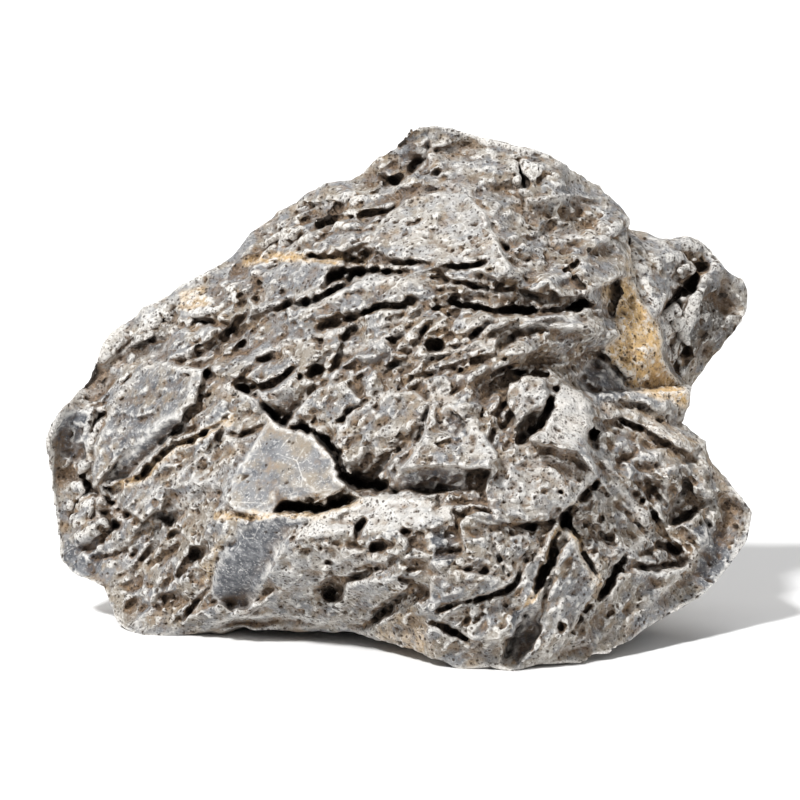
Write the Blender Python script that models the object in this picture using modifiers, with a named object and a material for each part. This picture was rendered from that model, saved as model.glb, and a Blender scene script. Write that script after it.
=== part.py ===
"""Seiryu stone: one weathered block of grey limestone, about 210 mm wide, that rests on three flat spots.

The stone is described as it is seen from the front, from 10 degrees above level. Places are picture
pixels, x to the right and y down, and depths are millimetres toward the eye. A side starts as a smooth
sheet of depths. Flat plates are then broken into it, crests are raised on it, and crevices and holes are
cut into it. A ball is drawn onto the outline and the two sides, made even, roughened, thinned and cut
level where it rests.
"""

import math

import bmesh
import bpy
import numpy as np

# Driving dimensions
MM = 0.001                  # one millimetre in metres
STONE_WIDTH = 208.25        # across the outline, left tip to right flank, in millimetres
LOOK_DOWN = math.radians(10.0)
EYE_DISTANCE = 2500.0       # from the eye to the middle of the stone
AIM_X = 571.5               # picture place of the middle of the stone
AIM_Y = 520.5
AIM_HEIGHT = 68.0           # height of that middle over the ground
HEART = (571.0, 520.0)      # the outline is measured round this place
ORIGIN = (0.6, 6.05)        # middle of the stone's box from the aimed-at place, right and away

# Fineness of the model
BALL_SUBDIVISIONS = 8
SHEET_STEP = 0.8            # pixels between the points of a sheet
VOXEL = 1.1
TRIANGLES = 9300

# Outline, clockwise from the left tip: picture x, picture y, depth of the rim
OUTLINE = [
    (364, 545, -25), (371.5, 529, -24), (387, 510, -23), (402, 483.5, -22), (416, 472, -21),
    (436, 460.6, -20), (456, 449, -20), (473, 435, -20), (483.5, 422, -20), (499, 415, -19),
    (513.6, 402, -18), (528, 392, -17), (545, 391.7, -16), (551, 386, -16), (568, 371.6, -16),
    (579.6, 361.5, -15), (591, 359.5, -15), (608, 363, -14), (625.5, 368.7, -14), (643, 373, -13),
    (660, 377, -12), (680, 389, -12), (694, 402, -10), (706, 415, -8), (707.5, 418, -30),
    (717, 420, -32), (732, 424.7, -36), (746, 427.5, -40), (763, 439, -44), (780.5, 456, -46),
    (775, 472, -46), (772, 480.6, -46), (757.6, 498, -44), (742.5, 513.5, -42), (743.4, 516, -4),
    (743, 519.4, -3), (739, 531, -4), (737.5, 535, -4), (752, 546.7, -2), (754.7, 556.7, -2),
    (769, 572.5, -2), (780.5, 587, -2), (777.7, 602.6, 0), (766, 620, 4), (752, 635.6, 12),
    (734.6, 645.7, 20), (717.4, 655.7, 29), (703, 667, 36), (688.7, 677, 43), (671.5, 676.4, 46),
    (654, 677, 50), (638.5, 681.6, 54), (625.5, 678.7, 52), (611, 680, 51), (597, 678.7, 49),
    (585, 670, 44), (565, 664, 30), (545, 659, 12), (522, 658.6, 6), (499, 658, 4),
    (476, 660, 3), (459, 658, 3), (436, 660, 4), (419, 661.5, 3), (407, 654, -6),
    (400, 638.5, -10), (397.4, 631, -12), (378.7, 622.7, -20), (373, 617, -22), (370, 590, -24),
    (366, 560, -25),
]
PIXEL = STONE_WIDTH / (max(x for x, _, _ in OUTLINE) - min(x for x, _, _ in OUTLINE))

# Depths of the front before anything is broken out of it
FRONT_DEPTHS = [
    # the top slope and its two crests
    (560, 388, -4), (590, 372, -8), (622, 378, -6), (652, 386, -4), (684, 402, -6),
    (530, 402, -9), (500, 424, -10), (470, 446, -12), (442, 470, -12), (412, 492, -15),
    (386, 530, -18), (545, 420, 6), (578, 418, 10), (604, 392, 6), (612, 400, 10),
    (622, 412, 15), (630, 428, 21), (640, 444, 26), (652, 394, 2), (676, 394, -1),
    (662, 410, 3), (662, 425, 10), (693, 412, -2), (690, 428, 9), (702, 440, 8),
    (512, 440, 5), (540, 440, 15), (575, 438, 22), (605, 438, 26), (480, 462, 0),
    (502, 462, 8), (530, 456, 17), (562, 446, 22), (640, 456, 30), (662, 460, 29),
    (682, 458, 23), (692, 450, 17),
    # the band under the long crevice
    (603, 468, 33), (628, 471, 35), (652, 473, 35), (676, 472, 31), (690, 476, 24),
    (694, 488, 16), (684, 500, 12), (565, 470, 30), (533, 472, 22), (503, 482, 14),
    (472, 482, 4), (450, 474, -4), (430, 488, -6), (445, 502, 3), (420, 512, -4),
    (402, 540, -9), (430, 530, 7), (458, 514, 13), (482, 505, 19), (512, 502, 27),
    (545, 497, 34), (582, 495, 38), (620, 495, 40), (652, 496, 38), (672, 502, 28),
    # the recess and the stained wall on the right
    (692, 510, 8), (708, 516, 8), (702, 460, -1), (714, 472, 0), (724, 492, 1), (736, 510, 0),
    # the lower left flank
    (386, 560, -20), (384, 600, -22), (396, 575, -12), (404, 600, -8), (410, 640, -4),
    (430, 560, 12), (428, 600, 10), (430, 640, 6), (455, 585, 24), (455, 620, 20),
    (455, 645, 14), (480, 560, 31), (505, 552, 34), (530, 560, 38), (480, 620, 32),
    (480, 640, 30), (500, 600, 44), (505, 640, 36),
    # the blocks and the fin over the nose
    (505, 520, 28), (528, 522, 33), (545, 522, 37), (568, 536, 44), (560, 552, 44),
    (592, 518, 48), (598, 540, 54), (590, 556, 58), (620, 552, 56), (648, 522, 46),
    (672, 530, 42), (640, 545, 50), (660, 558, 54), (674, 568, 50),
    # the nose
    (545, 590, 54), (575, 586, 60), (600, 586, 62), (560, 615, 62), (600, 615, 66),
    (530, 612, 54), (518, 630, 46), (540, 645, 48), (560, 635, 56), (585, 645, 60),
    (600, 660, 58), (625, 580, 62), (625, 615, 65), (630, 645, 64), (612, 672, 54),
    (640, 672, 56), (650, 590, 58), (640, 605, 62),
    # the pitted right flank
    (690, 526, 26), (712, 532, 21), (732, 538, 13), (700, 545, 32), (725, 548, 22),
    (742, 552, 12), (725, 570, 22), (750, 585, 8), (768, 590, 2), (700, 575, 36),
    (690, 592, 40), (715, 600, 30), (740, 605, 18), (762, 610, 6), (690, 618, 46),
    (712, 630, 36), (735, 630, 22), (752, 622, 10), (676, 645, 54), (700, 655, 38),
    (660, 610, 56), (660, 655, 58), (690, 668, 42),
]

# The lobe stands behind the right flank, on its own lower sheet
LOBE_EDGE = [
    (706, 405), (760, 405), (800, 450), (790, 500), (745, 515), (742.5, 514.5), (733, 507), (727, 497),
    (728, 490), (725, 482), (720, 469), (712, 459), (709, 448), (706.5, 437), (705.5, 428),
]
LOBE_DEPTHS = [
    (712, 430, -20), (728, 440, -17), (722, 460, -13), (735, 432, -24), (750, 440, -30), (770, 450, -38),
    (740, 460, -31), (760, 470, -34), (772, 462, -42), (735, 490, -30), (752, 490, -38), (738, 505, -32),
]

# Depths of the hidden back, as if seen through the stone
BACK_DEPTHS = [
    (571, 520, -78), (480, 520, -72), (430, 540, -60), (400, 560, -46), (500, 450, -58),
    (450, 480, -50), (545, 415, -50), (590, 395, -48), (640, 400, -54), (680, 430, -66),
    (720, 455, -72), (755, 460, -66), (560, 460, -70), (620, 460, -74), (640, 520, -84),
    (700, 520, -80), (745, 585, -56), (720, 560, -70), (640, 580, -80), (560, 590, -74),
    (480, 600, -66), (430, 620, -50), (690, 610, -66), (620, 640, -64), (540, 645, -60),
    (700, 640, -50), (470, 640, -54),
]

# Plates of the front: outline, then how flat it is, how far it stands out, and how fast its depth grows
# to the right and downward
FRONT_PLATES = [
    # left tip: a grey wall that looks down, and the hollow behind the pale rim
    ([(366, 546), (372, 534), (379, 527), (392, 525), (390, 540), (388, 557), (378, 559),
      (370, 552)], 0.7, -1, 0.2, -0.5),
    ([(388, 508), (402, 496), (416, 488), (425, 484), (438, 483), (432, 493), (419, 497), (408, 503),
      (398, 514), (388, 519)], 0.6, -4, 0.1, 0.3),
    ([(429, 475), (441, 468), (453, 471), (461, 477), (452, 482), (440, 479)], 0.7, -3, 0, -0.4),
    ([(412, 470), (436, 461), (456, 450), (474, 440), (470, 452), (450, 462), (430, 470), (405, 487),
      (396, 494)], 0.6, 1, 0.15, 0.2),
    # left: the pale lens with its steep lower facet, and the small lens beside it
    ([(421, 500.6), (431.5, 498), (445, 501.6), (458, 502.5), (451, 522.6), (441, 529), (431.5, 533),
      (422, 541), (408.6, 554), (393, 571), (391, 561), (395, 546.5), (401, 531),
      (407, 515)], 0.92, 3.5, 0.1, 0.1),
    ([(408.6, 554), (427.7, 535), (447, 527), (443, 537), (427, 552), (412, 567),
      (401, 569)], 0.9, -1, -0.5, -0.8),
    ([(452, 540), (461, 527), (472, 519), (480, 523), (473, 532), (461, 541)], 0.9, 1, -0.1, -0.2),
    ([(410, 584), (417, 574), (436, 570), (452, 558), (472, 543), (480, 556), (468, 562), (450, 569),
      (436, 583), (420, 592)], 0.7, 2, 0, 0.3),
    ([(437, 571), (460, 567), (470, 571), (455, 578), (446, 586), (438, 596),
      (430, 590)], 0.8, -2, 0, -0.6),
    ([(459, 574), (470, 578), (476, 590), (464, 606), (452, 604), (440, 598),
      (446, 588)], 0.6, 1, 0.1, 0.2),
    # the flat slab over the crevice
    ([(465, 515), (479, 517), (491, 525), (498, 533), (507, 538), (522, 540), (531, 547), (534.5, 558),
      (538, 567), (542, 572), (535, 577), (522, 577), (509, 581), (498, 586), (487, 590), (474, 586),
      (467, 578), (470, 566), (476, 552), (468, 540), (474, 530)], 0.6, 1.5, 0.05, 0.1),
    ([(479, 557), (489, 541), (496, 533), (507, 538), (522, 540), (531, 547), (534.5, 558), (538, 567),
      (542, 572), (535, 577), (522, 577), (509, 581), (498, 586), (487, 590), (475, 586), (469, 578),
      (473, 567)], 0.97, 1.5, 0.0, 0.0),
    # blocks right of the crevice
    ([(495, 524), (503, 518), (516, 508), (521, 510), (516, 521), (508, 531), (503, 534),
      (498, 529)], 0.8, 0, -0.2, -0.5),
    ([(508.6, 531), (514, 521), (530, 512), (541, 511), (549, 521), (540, 529), (530, 538),
      (520, 538)], 0.8, 2, 0.1, -0.2),
    ([(534, 547), (541, 531), (558, 519), (579, 515), (590, 522), (584, 532), (574, 538), (562, 540),
      (548, 556), (540, 559), (533, 549)], 0.85, 4, 0.05, 0.2),
    ([(548, 556), (562, 540), (574, 538), (584, 532), (588, 536), (580, 545), (568, 556), (556, 568),
      (547, 567), (540, 559)], 0.8, 0, -0.5, -0.9),
    # the dark fresh face
    ([(477, 598), (486.6, 593.5), (503, 590), (521, 590.6), (509, 598), (503, 605), (499, 616),
      (492, 629), (484, 644), (474, 645.5), (465.5, 641), (460, 634), (463, 623),
      (469, 610)], 0.97, -2.0, -0.15, -0.2),
    ([(477, 598), (469, 610), (463, 623), (460, 634), (453, 632), (454, 622), (462, 608),
      (470, 599)], 0.6, -1, 0, -0.2),
    # the nose: its bright top, its front, and the dark strip under it
    ([(521, 589), (540, 585), (552, 578), (572, 577), (596, 579), (606, 590), (590, 597), (566, 597),
      (545, 600), (525, 603), (510, 603)], 0.6, 1, 0, 0.3),
    ([(502, 606), (520, 604), (546, 609), (566, 612), (565, 618), (548, 625), (530, 624), (519, 638),
      (509, 640), (500, 636), (497, 624)], 0.5, 1, 0.05, -0.1),
    ([(540, 628), (556, 626), (577, 628), (574, 634), (560, 642), (546, 651), (530, 652), (519, 645),
      (527, 641), (537, 639)], 0.7, 2, 0.1, -0.2),
    ([(486, 645), (500, 637), (511, 641), (510, 649), (496, 650), (484, 650)], 0.7, -3, 0, -0.7),
    ([(446, 657.5), (474, 650.5), (503, 649.6), (527, 653.5), (540, 654.5), (551, 659), (545, 668),
      (520, 668), (455, 668)], 0.9, -15, 0, -0.3),
    ([(539, 655), (560, 645), (571, 637), (578, 631), (583, 633), (576, 641), (563, 650),
      (552, 659)], 0.8, -6, 0, -0.3),
    # the stained foot of the nose and the faces beside it
    ([(553, 660), (565, 650), (578, 640), (589, 648), (586, 656), (590, 664), (588, 672),
      (572, 668)], 0.6, -3, 0.1, 0),
    ([(590, 656), (604, 659), (616, 664), (632, 664), (636, 672), (629, 680), (597, 680),
      (589, 670)], 0.6, -1, 0, -0.2),
    # the fin
    ([(590, 509), (601, 517), (611, 528), (621, 541), (631, 552), (628, 561), (612, 561), (573, 561),
      (583, 549), (588, 536), (592, 524)], 0.6, 5, 0, 0.45),
    ([(573, 561), (590, 560), (612, 562), (611, 574), (598, 574), (564, 574)], 0.8, -1, 0, -0.7),
    ([(593, 524), (601, 522), (612, 536), (604, 544), (596, 540)], 0.8, -2, 0, -0.3),
    # knob, horn and the block under them
    ([(637, 513), (649, 506), (656, 510), (659.5, 520), (656, 530), (647, 543), (641, 541), (640, 531),
      (636, 522)], 0.5, 6, 0.05, -0.1),
    ([(647, 528), (657, 527), (650, 539), (644, 544), (642, 538)], 0.8, -3, 0, -0.7),
    ([(664, 519), (668, 511.5), (677, 515), (684, 523), (686.5, 532), (682, 540), (684, 551), (689, 566),
      (678, 556), (660, 548), (648, 545), (655, 538), (662, 530)], 0.8, 8, 0.05, 0.35),
    ([(627, 557), (640, 548), (655, 546), (677, 551), (688, 568), (676, 579), (664, 591), (650, 594),
      (628, 592), (622, 574)], 0.5, 3, 0, 0.15),
    # slabs of the lower right, split by trenches
    ([(627, 599), (640, 596), (656, 600), (654, 608), (647, 614), (640, 628), (632, 617),
      (626, 607)], 0.8, 1, 0.05, -0.15),
    ([(609, 600), (624, 596), (626, 608), (631, 618), (637, 627), (628, 624), (608, 620)], 0.6, 1, 0, 0),
    ([(591, 625), (607, 622), (628, 626), (636, 629), (630, 635), (610, 640), (597, 645),
      (590, 640)], 0.7, 2, 0, -0.15),
    ([(656, 608), (665, 592), (669, 600), (661, 618), (653, 633), (645, 648), (638, 661), (616, 662),
      (602, 654), (598, 649), (610, 644), (630, 640), (642, 629)], 0.8, 1.5, 0, -0.1),
    ([(674, 600), (682, 616), (689, 630), (680, 646), (668, 664), (657, 675), (650, 677), (655, 658),
      (659, 640), (665, 617)], 0.85, 3, 0, -0.1),
    ([(681, 590), (700, 607), (698, 618), (689, 629), (683, 615), (678, 600)], 0.6, 0, 0, 0.1),
    ([(652, 640), (656, 645), (652, 667), (640, 679), (632, 677), (638, 663), (646, 648)], 0.9, -7, 0.4, 0),
    ([(690, 640), (700, 626), (712, 621), (742, 620), (732, 631), (716, 642), (703, 651), (686, 665),
      (668, 668), (676, 655)], 0.6, 1, 0.1, -0.1),
    ([(668, 668), (686, 665), (703, 652), (712, 656), (700, 670), (690, 678),
      (655, 678)], 0.7, -4, 0, -0.5),
    # the pitted flank: the broken bite, and the faces that fall away to the rim
    ([(729, 594), (735, 578), (741, 567), (748, 577), (757, 583), (744, 591)], 0.8, -6, 0.5, 0.2),
    ([(748, 562), (755, 573), (758, 586), (755, 602), (746, 617), (736, 628), (718, 641), (706, 650),
      (704, 668), (735, 648), (754, 638), (768, 621), (781, 603), (783, 587), (771, 571),
      (757, 556)], 0.7, -3, -0.5, -0.2),
    ([(690, 521), (703, 520), (722, 527), (736, 536), (752, 547), (744, 552), (722, 540), (703, 532),
      (690, 532)], 0.6, 2, 0, 0.4),
    # the stained wall and the recess at its foot
    ([(701, 450), (708, 450), (712, 459), (720, 469), (725, 482), (728, 490), (727, 497), (733, 507),
      (743, 515), (744, 521), (730, 516), (716, 503), (706, 490), (700, 476), (698, 462)], 0.9, 2, 0.1, 0),
    ([(673, 506), (690, 496), (704, 496), (712, 508), (722, 516), (740, 523), (733, 535), (716, 524),
      (700, 519), (688, 521), (678, 512)], 0.7, -5, 0, 0.2),
    # the ledge over the long crevice, and the wall that drops from its right end
    ([(682, 433), (695, 425), (703, 430), (707, 440), (703, 448), (692, 453), (684, 456),
      (676, 447)], 0.6, 3.5, -0.1, 0.1),
    ([(684, 456), (693, 453), (702, 448), (700, 460), (698, 474), (693, 470),
      (688, 463)], 0.8, -5, -0.6, 0),
    ([(620, 455), (640, 459), (662, 462), (684, 459), (688, 463), (668, 468), (628, 467),
      (605, 462)], 0.6, -2, 0, -0.5),
    # top: the lit facets and the hollow between the crests
    ([(601, 391), (612, 398), (617, 405), (623, 413), (629, 425), (638, 444), (630, 449), (600, 440),
      (568, 437), (553, 431), (562, 414), (582, 400)], 0.75, 2.5, 0.05, 0.15),
    ([(612, 397), (634, 388), (640, 393), (648, 405), (643, 420), (640, 436), (631, 425), (624, 412),
      (617, 404)], 0.6, -2, -0.1, 0.1),
    ([(645, 406), (662, 403), (682, 403), (691, 409), (689, 421), (670, 425),
      (650, 421)], 0.7, -2, 0, -0.5),
    ([(645, 386), (660, 380), (684, 392), (694, 403), (680, 402), (662, 401), (650, 402),
      (646, 396)], 0.5, 1.5, 0, 0.2),
    ([(600, 372), (633, 376), (641, 385), (636, 392), (612, 396), (601, 389), (590, 386),
      (588, 376)], 0.5, 1, 0, 0.15),
    ([(573, 384), (570, 374), (580, 363), (592, 361), (590, 372), (582, 384)], 0.6, -1, -0.2, 0),
    ([(509.5, 406), (525, 394), (536, 390), (545, 393), (546, 400), (539, 404),
      (524, 405)], 0.6, 3, 0, 0.2),
    ([(490, 447), (512, 438), (531, 442), (528, 453), (512, 460), (495, 468)], 0.7, 2.5, 0, 0.1),
    ([(545, 448), (566, 446), (584, 452), (588, 460), (574, 464), (556, 466), (545, 470), (534, 466),
      (530, 460)], 0.5, 1.5, 0, 0.1),
    # the lobe: a pale slab in front of its darker flank
    ([(710, 423), (727, 427), (736, 435.5), (737, 443), (731, 454), (723, 472), (720, 469), (712, 459),
      (709, 448.5), (707, 437)], 0.8, 2, 0, 0.1),
    ([(752, 450), (766, 452), (776, 460), (770, 474), (758, 486), (746, 496), (740, 484),
      (742, 464)], 0.5, 2, -0.2, 0),
]

# Crests of the front: line, width in pixels, rise
FRONT_CRESTS = [
    ([(366, 543), (377, 525), (396, 495), (414, 471), (436, 462)], 12, 1.2),
    ([(601, 392), (612, 398), (616, 404.5), (622, 412), (628, 423), (630.6, 431), (638, 446),
      (648, 451)], 15, 1.7),
    ([(634, 377), (642, 384), (640, 392), (649, 404), (662, 402), (676, 402)], 14, 1.5),
    ([(747, 562), (753, 574), (756, 586), (753, 602), (744, 617), (734, 628.5), (718, 641),
      (707, 649)], 14, 1.5),
    ([(465, 515), (479, 518), (492, 526), (505, 537)], 10, 0.9),
    ([(502, 604), (498, 616), (491, 629), (484, 644)], 10, 1.1),
    ([(455, 655), (474, 649.5), (503, 648.5), (527, 652), (540, 652)], 12, 1.4),
    ([(698, 567), (707, 578), (715, 589), (712, 600)], 10, 1.0),
    ([(414, 586), (437, 569.5), (451, 558), (472, 543)], 12, 1.0),
    ([(426, 614), (431.5, 598), (444, 584), (459, 566)], 12, 0.9),
    ([(573, 562), (583, 549), (587.5, 536), (591, 524), (590, 511), (601, 517), (610.5, 527), (620, 541),
      (630, 551)], 10, 1.0),
    ([(480, 497), (505, 488), (530, 482), (560, 476), (590, 470)], 14, 0.9),
    ([(515, 503), (540, 492), (566, 484), (590, 478)], 12, 0.8),
    ([(560, 505), (585, 497), (612, 490), (640, 484)], 14, 0.9),
    ([(690, 496), (700, 508), (712, 520)], 10, 0.8),
]

# Crevices of the front: line, width in pixels, depth
FRONT_CREVICES = [
    # the long crevice and its feeders
    ([(601, 463), (612, 466), (628, 468.6), (641, 469), (655.5, 469.6), (668, 468.6), (682, 465),
      (690, 466.5), (695, 474)], 6.5, 17),
    ([(496, 469.6), (508.6, 465), (522, 463), (531.5, 458.5), (541, 453), (547, 447.6), (555, 444.7),
      (567, 446), (579, 444)], 6, 13),
    ([(526, 454), (534, 448), (544, 446), (556, 443)], 6, 8),
    ([(509.5, 431), (516, 434.5), (528, 436.5), (541, 438.5), (550, 438)], 3.2, 7),
    ([(556, 441), (568, 440), (579, 439.5), (590, 441)], 3, 6),
    ([(545, 471.5), (552.6, 468.6), (560, 466), (574.6, 465), (586, 462.5)], 4.5, 10),
    ([(594, 442), (606, 442.6), (617, 441), (626, 438)], 4, 9),
    ([(570, 450), (592, 449), (612, 452), (617, 454), (628, 457), (641, 455), (647, 460),
      (661, 463)], 3, 6),
    ([(629, 424), (633, 430), (637, 435), (646, 439), (653, 437)], 3, 6),
    ([(656, 446), (668, 446), (679, 440)], 3, 5),
    ([(614, 401), (622, 409), (629, 422)], 4, 5),
    ([(641, 374), (643, 388), (647, 396)], 6, 7),
    ([(560, 397), (568, 391.5), (576, 388), (582, 381), (588, 377)], 5, 7),
    ([(586, 391), (596, 386), (610, 384), (622, 384), (632, 380)], 3, 3.5),
    ([(575.5, 419), (582, 416.5), (587, 413)], 4, 6),
    ([(513, 407), (528, 404.8), (540, 404.5), (547, 400)], 2.5, 4),
    # the forked crevice round the slab
    ([(476, 514), (486, 518), (493, 525), (500, 533), (507, 537.5)], 5.5, 12),
    ([(507, 537.5), (514, 537), (522, 539), (529, 545.6), (535, 552), (536.5, 561), (541, 568),
      (548, 573)], 6.5, 17),
    ([(541, 566), (550, 571), (560, 572), (566, 574)], 12, 20),
    ([(552, 577), (540, 581), (528, 586), (516, 585), (505, 584), (494, 588)], 7, 15),
    ([(474, 513), (486, 514), (498, 513), (508, 505), (514, 500)], 6, 9),
    ([(533, 538), (540, 529), (552, 521)], 3.5, 7),
    ([(516, 520), (508, 531), (503, 536)], 3.5, 8),
    ([(562, 574), (578, 575), (592, 575.5), (606, 573)], 3.5, 9),
    ([(590, 522), (588, 535), (582, 548), (572, 561)], 4, 6),
    # left: the brown crevice under the lens, and small slots
    ([(404, 572), (422, 564.5), (436, 551), (446, 546), (460, 540), (473, 531)], 5.5, 9),
    ([(429, 550), (438, 542), (445, 533)], 5, 5),
    ([(470, 539), (478, 541.5), (488, 538)], 4, 6),
    ([(396, 536), (393, 547), (390, 558)], 4, 5),
    ([(384, 566), (392, 576), (400, 580), (408, 583)], 6, 7),
    ([(395, 585), (402, 592), (408, 600)], 5, 5),
    ([(452, 475), (462, 476), (472, 477)], 5, 7),
    ([(404, 494), (412, 488), (418, 483)], 2.5, 3),
    ([(421, 606), (430, 600)], 4, 5),
    # the nose and the slabs right of it
    ([(539, 656), (551, 655), (562, 646), (570, 640), (580, 632)], 4.5, 9),
    ([(541, 626), (551.6, 622.5), (563, 617)], 4.5, 6),
    ([(588, 648.5), (597, 645.5), (607, 641), (616, 639), (627, 637), (634, 633.5), (641, 627),
      (645, 619), (650, 613)], 3.6, 10),
    ([(607, 620), (617, 622), (628, 624)], 3, 6),
    ([(626, 598), (627, 608), (631.5, 617), (638, 627)], 3.5, 7),
    ([(587, 652), (595, 653.5), (604, 658), (614, 662)], 4.5, 8),
    ([(676, 582), (670, 590), (666, 600), (661, 617), (655, 629), (650, 640)], 6.5, 13),
    ([(650, 640), (644, 652), (638, 664), (633, 677)], 5, 8),
    ([(668, 584), (662, 592)], 6, 7),
    ([(690, 570), (682, 577), (676, 582)], 7, 9),
    ([(671, 590), (676, 601), (682, 615), (690, 629)], 4.5, 9),
    ([(707, 612), (701, 620), (696, 629), (690, 639)], 6, 11),
    ([(711, 613), (720, 611), (728, 606)], 5, 7),
    ([(689, 638), (683, 644), (677, 653), (668, 663)], 3, 5),
    ([(711, 620), (725, 620.5), (740, 619)], 4.5, 9),
    ([(729, 594), (738, 592), (748, 585), (755, 581.5)], 4.5, 8),
    ([(730, 587), (735, 578), (741, 568)], 4, 6),
    ([(641, 504), (652, 506), (662, 508)], 3.5, 6),
    ([(661, 514), (661, 526), (655, 535), (645, 544)], 5.5, 11),
    ([(687, 536), (686, 544), (689, 553)], 5, 8),
    ([(634, 540), (628, 530), (622, 526)], 3, 4),
    # the wall, the recess and the lobe
    ([(740, 526), (735, 531), (731, 536)], 5, 8),
    ([(681, 511), (690, 518)], 4, 5),
    ([(757, 438), (747.5, 447), (738, 457), (729, 466), (722, 473)], 7, 10),
    ([(738, 441), (733, 448), (729, 456)], 5, 6),
    ([(749, 463), (750, 477)], 4, 5),
    ([(705.5, 424), (708, 440), (705, 448)], 4, 5),
    ([(612, 485.5), (619, 481), (626, 474)], 4, 5),
    ([(630, 493), (637, 486), (640, 481)], 4, 4),
    ([(478, 490), (484, 484), (489, 479)], 5, 5),
]

# Holes of the front: x, y, length and width in pixels, turn in degrees, depth
FRONT_HOLES = [
    (549, 597, 16, 6, 55, 9), (562, 606, 16, 7, 5, 8), (530, 617, 6, 5, 0, 5), (532, 633, 12, 17, 10, 6),
    (517, 610, 8, 4, 10, 4), (416, 611, 8, 6, 40, 5), (426, 631, 8, 6, 20, 4), (422, 645, 9, 6, 20, 4),
    (431, 643, 6, 5, 0, 4), (453, 612, 13, 12, 0, 6), (593, 489, 12, 9, -20, 6), (585, 480, 6, 5, 0, 5),
    (665, 481.5, 8, 4, 0, 4), (682, 475, 5, 4, 0, 4), (671, 434, 10, 8, 20, 5), (646, 392, 9, 11, 0, 6),
    (544, 397, 6, 6, 0, 4), (503, 428, 9, 5, 10, 4), (487, 462, 8, 6, 0, 5), (567, 487, 9, 5, 20, 4),
    (523, 504, 12, 7, 30, 6), (685.5, 541, 5, 12, 0, 8), (667.5, 655, 5, 9, 0, 5), (721.6, 589, 7, 6, 0, 5),
    (690, 591.5, 5, 8, 0, 5), (695, 602, 12, 8, 0, 4), (700, 559, 7, 9, 0, 4), (730, 608, 16, 8, -20, 5),
    (671, 592, 9, 14, 0, 9), (765, 465, 8, 12, 30, 6), (734, 493, 7, 5, 0, 4), (723, 477, 6, 10, 20, 6),
    (704, 433, 7, 9, 0, 4), (754, 566, 6, 5, 0, 4), (757, 572, 5, 4, 0, 3), (701, 543, 8, 5, 0, 3),
    (716, 580, 7, 5, 40, 4), (710, 577, 8, 5, 40, 3), (667, 575, 5, 5, 0, 3), (657, 575, 5, 5, 0, 3),
    (641, 592, 14, 4, -10, 3), (612, 588, 7, 6, 0, 3), (574, 598, 5, 4, 0, 3), (402, 573, 9, 6, 0, 5),
    (440, 600, 8, 5, 30, 3), (473, 605, 6, 4, 40, 3),
]

# Plates, crevices and holes of the hidden back, written the same way but with depths away from the eye
BACK_PLATES = [
    ([(380, 560), (420, 500), (470, 470), (480, 540), (440, 600), (400, 620)], 0.8, 3, 0.1, 0),
    ([(470, 470), (500, 430), (560, 400), (580, 450), (540, 500), (480, 530)], 0.85, 4, 0.05, 0.1),
    ([(560, 400), (610, 378), (650, 384), (680, 410), (650, 460), (590, 450)], 0.8, 2, 0, 0.2),
    ([(650, 460), (690, 420), (740, 430), (765, 455), (750, 490), (700, 510),
      (660, 490)], 0.8, 3, -0.1, 0.1),
    ([(580, 450), (650, 462), (662, 500), (620, 540), (560, 540), (542, 500)], 0.85, -3, 0, 0.15),
    ([(440, 600), (482, 540), (545, 545), (560, 600), (530, 650), (460, 650)], 0.8, 2, 0, -0.15),
    ([(560, 545), (625, 545), (650, 590), (620, 650), (565, 650), (562, 600)], 0.9, 5, 0.05, -0.1),
    ([(625, 540), (670, 500), (730, 520), (745, 560), (700, 600), (655, 590)], 0.85, 1, -0.1, 0),
    ([(655, 595), (700, 602), (745, 565), (765, 590), (730, 640), (660, 660)], 0.8, -2, -0.2, -0.1),
    ([(590, 470), (635, 480), (640, 515), (600, 525)], 0.9, 3, 0.1, 0),
]
BACK_CREVICES = [
    ([(430, 500), (470, 505), (520, 500), (575, 515), (640, 530), (690, 525)], 7, 12),
    ([(575, 515), (566, 560), (575, 610), (560, 655)], 6, 10),
    ([(480, 430), (510, 460), (560, 470), (610, 455), (660, 470), (700, 462)], 5, 9),
    ([(690, 525), (720, 560), (715, 600), (735, 625)], 5, 8),
    ([(440, 560), (480, 570), (530, 560), (566, 566)], 5, 8),
    ([(630, 400), (640, 430), (628, 456)], 5, 7),
    ([(640, 530), (648, 570), (640, 620), (655, 650)], 4, 7),
    ([(540, 420), (546, 450), (535, 468)], 4, 6),
    ([(470, 620), (510, 612), (558, 622)], 4, 6),
]
BACK_CRESTS = [
    ([(470, 470), (520, 480), (575, 500), (640, 515)], 10, 2.5),
    ([(430, 590), (480, 590), (540, 580)], 9, 2),
    ([(600, 560), (640, 548), (700, 548)], 9, 2),
    ([(560, 415), (600, 430), (660, 445)], 9, 2),
]
BACK_HOLES = [
    (500, 490, 14, 9, 20, 5), (610, 500, 12, 9, 0, 5), (680, 560, 14, 10, 30, 6), (530, 600, 10, 8, 0, 5),
    (600, 620, 12, 8, 60, 5), (460, 540, 10, 8, 0, 4), (700, 440, 10, 7, 0, 4), (580, 430, 9, 7, 0, 4),
    (640, 610, 9, 7, 0, 4), (510, 640, 12, 8, 0, 4), (730, 590, 9, 7, 0, 4),
]

# Faces broken off the flanks: compass turn from the front, tilt up, distance from the middle
BROKEN_SHARE = 0.85         # how flat such a face is
BROKEN_REACH = (4, 45)      # distances behind the rim over which it begins
BROKEN_FACES = [
    (-96, 8, 97), (-122, -14, 84), (-66, 30, 90), (-84, -30, 86), (96, 34, 82), (128, 8, 94),
    (112, -26, 86), (180, 24, 76), (205, -12, 76), (150, 40, 78), (-140, 42, 68), (20, 68, 76),
    (-150, 66, 70), (178, 62, 70),
]

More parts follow.
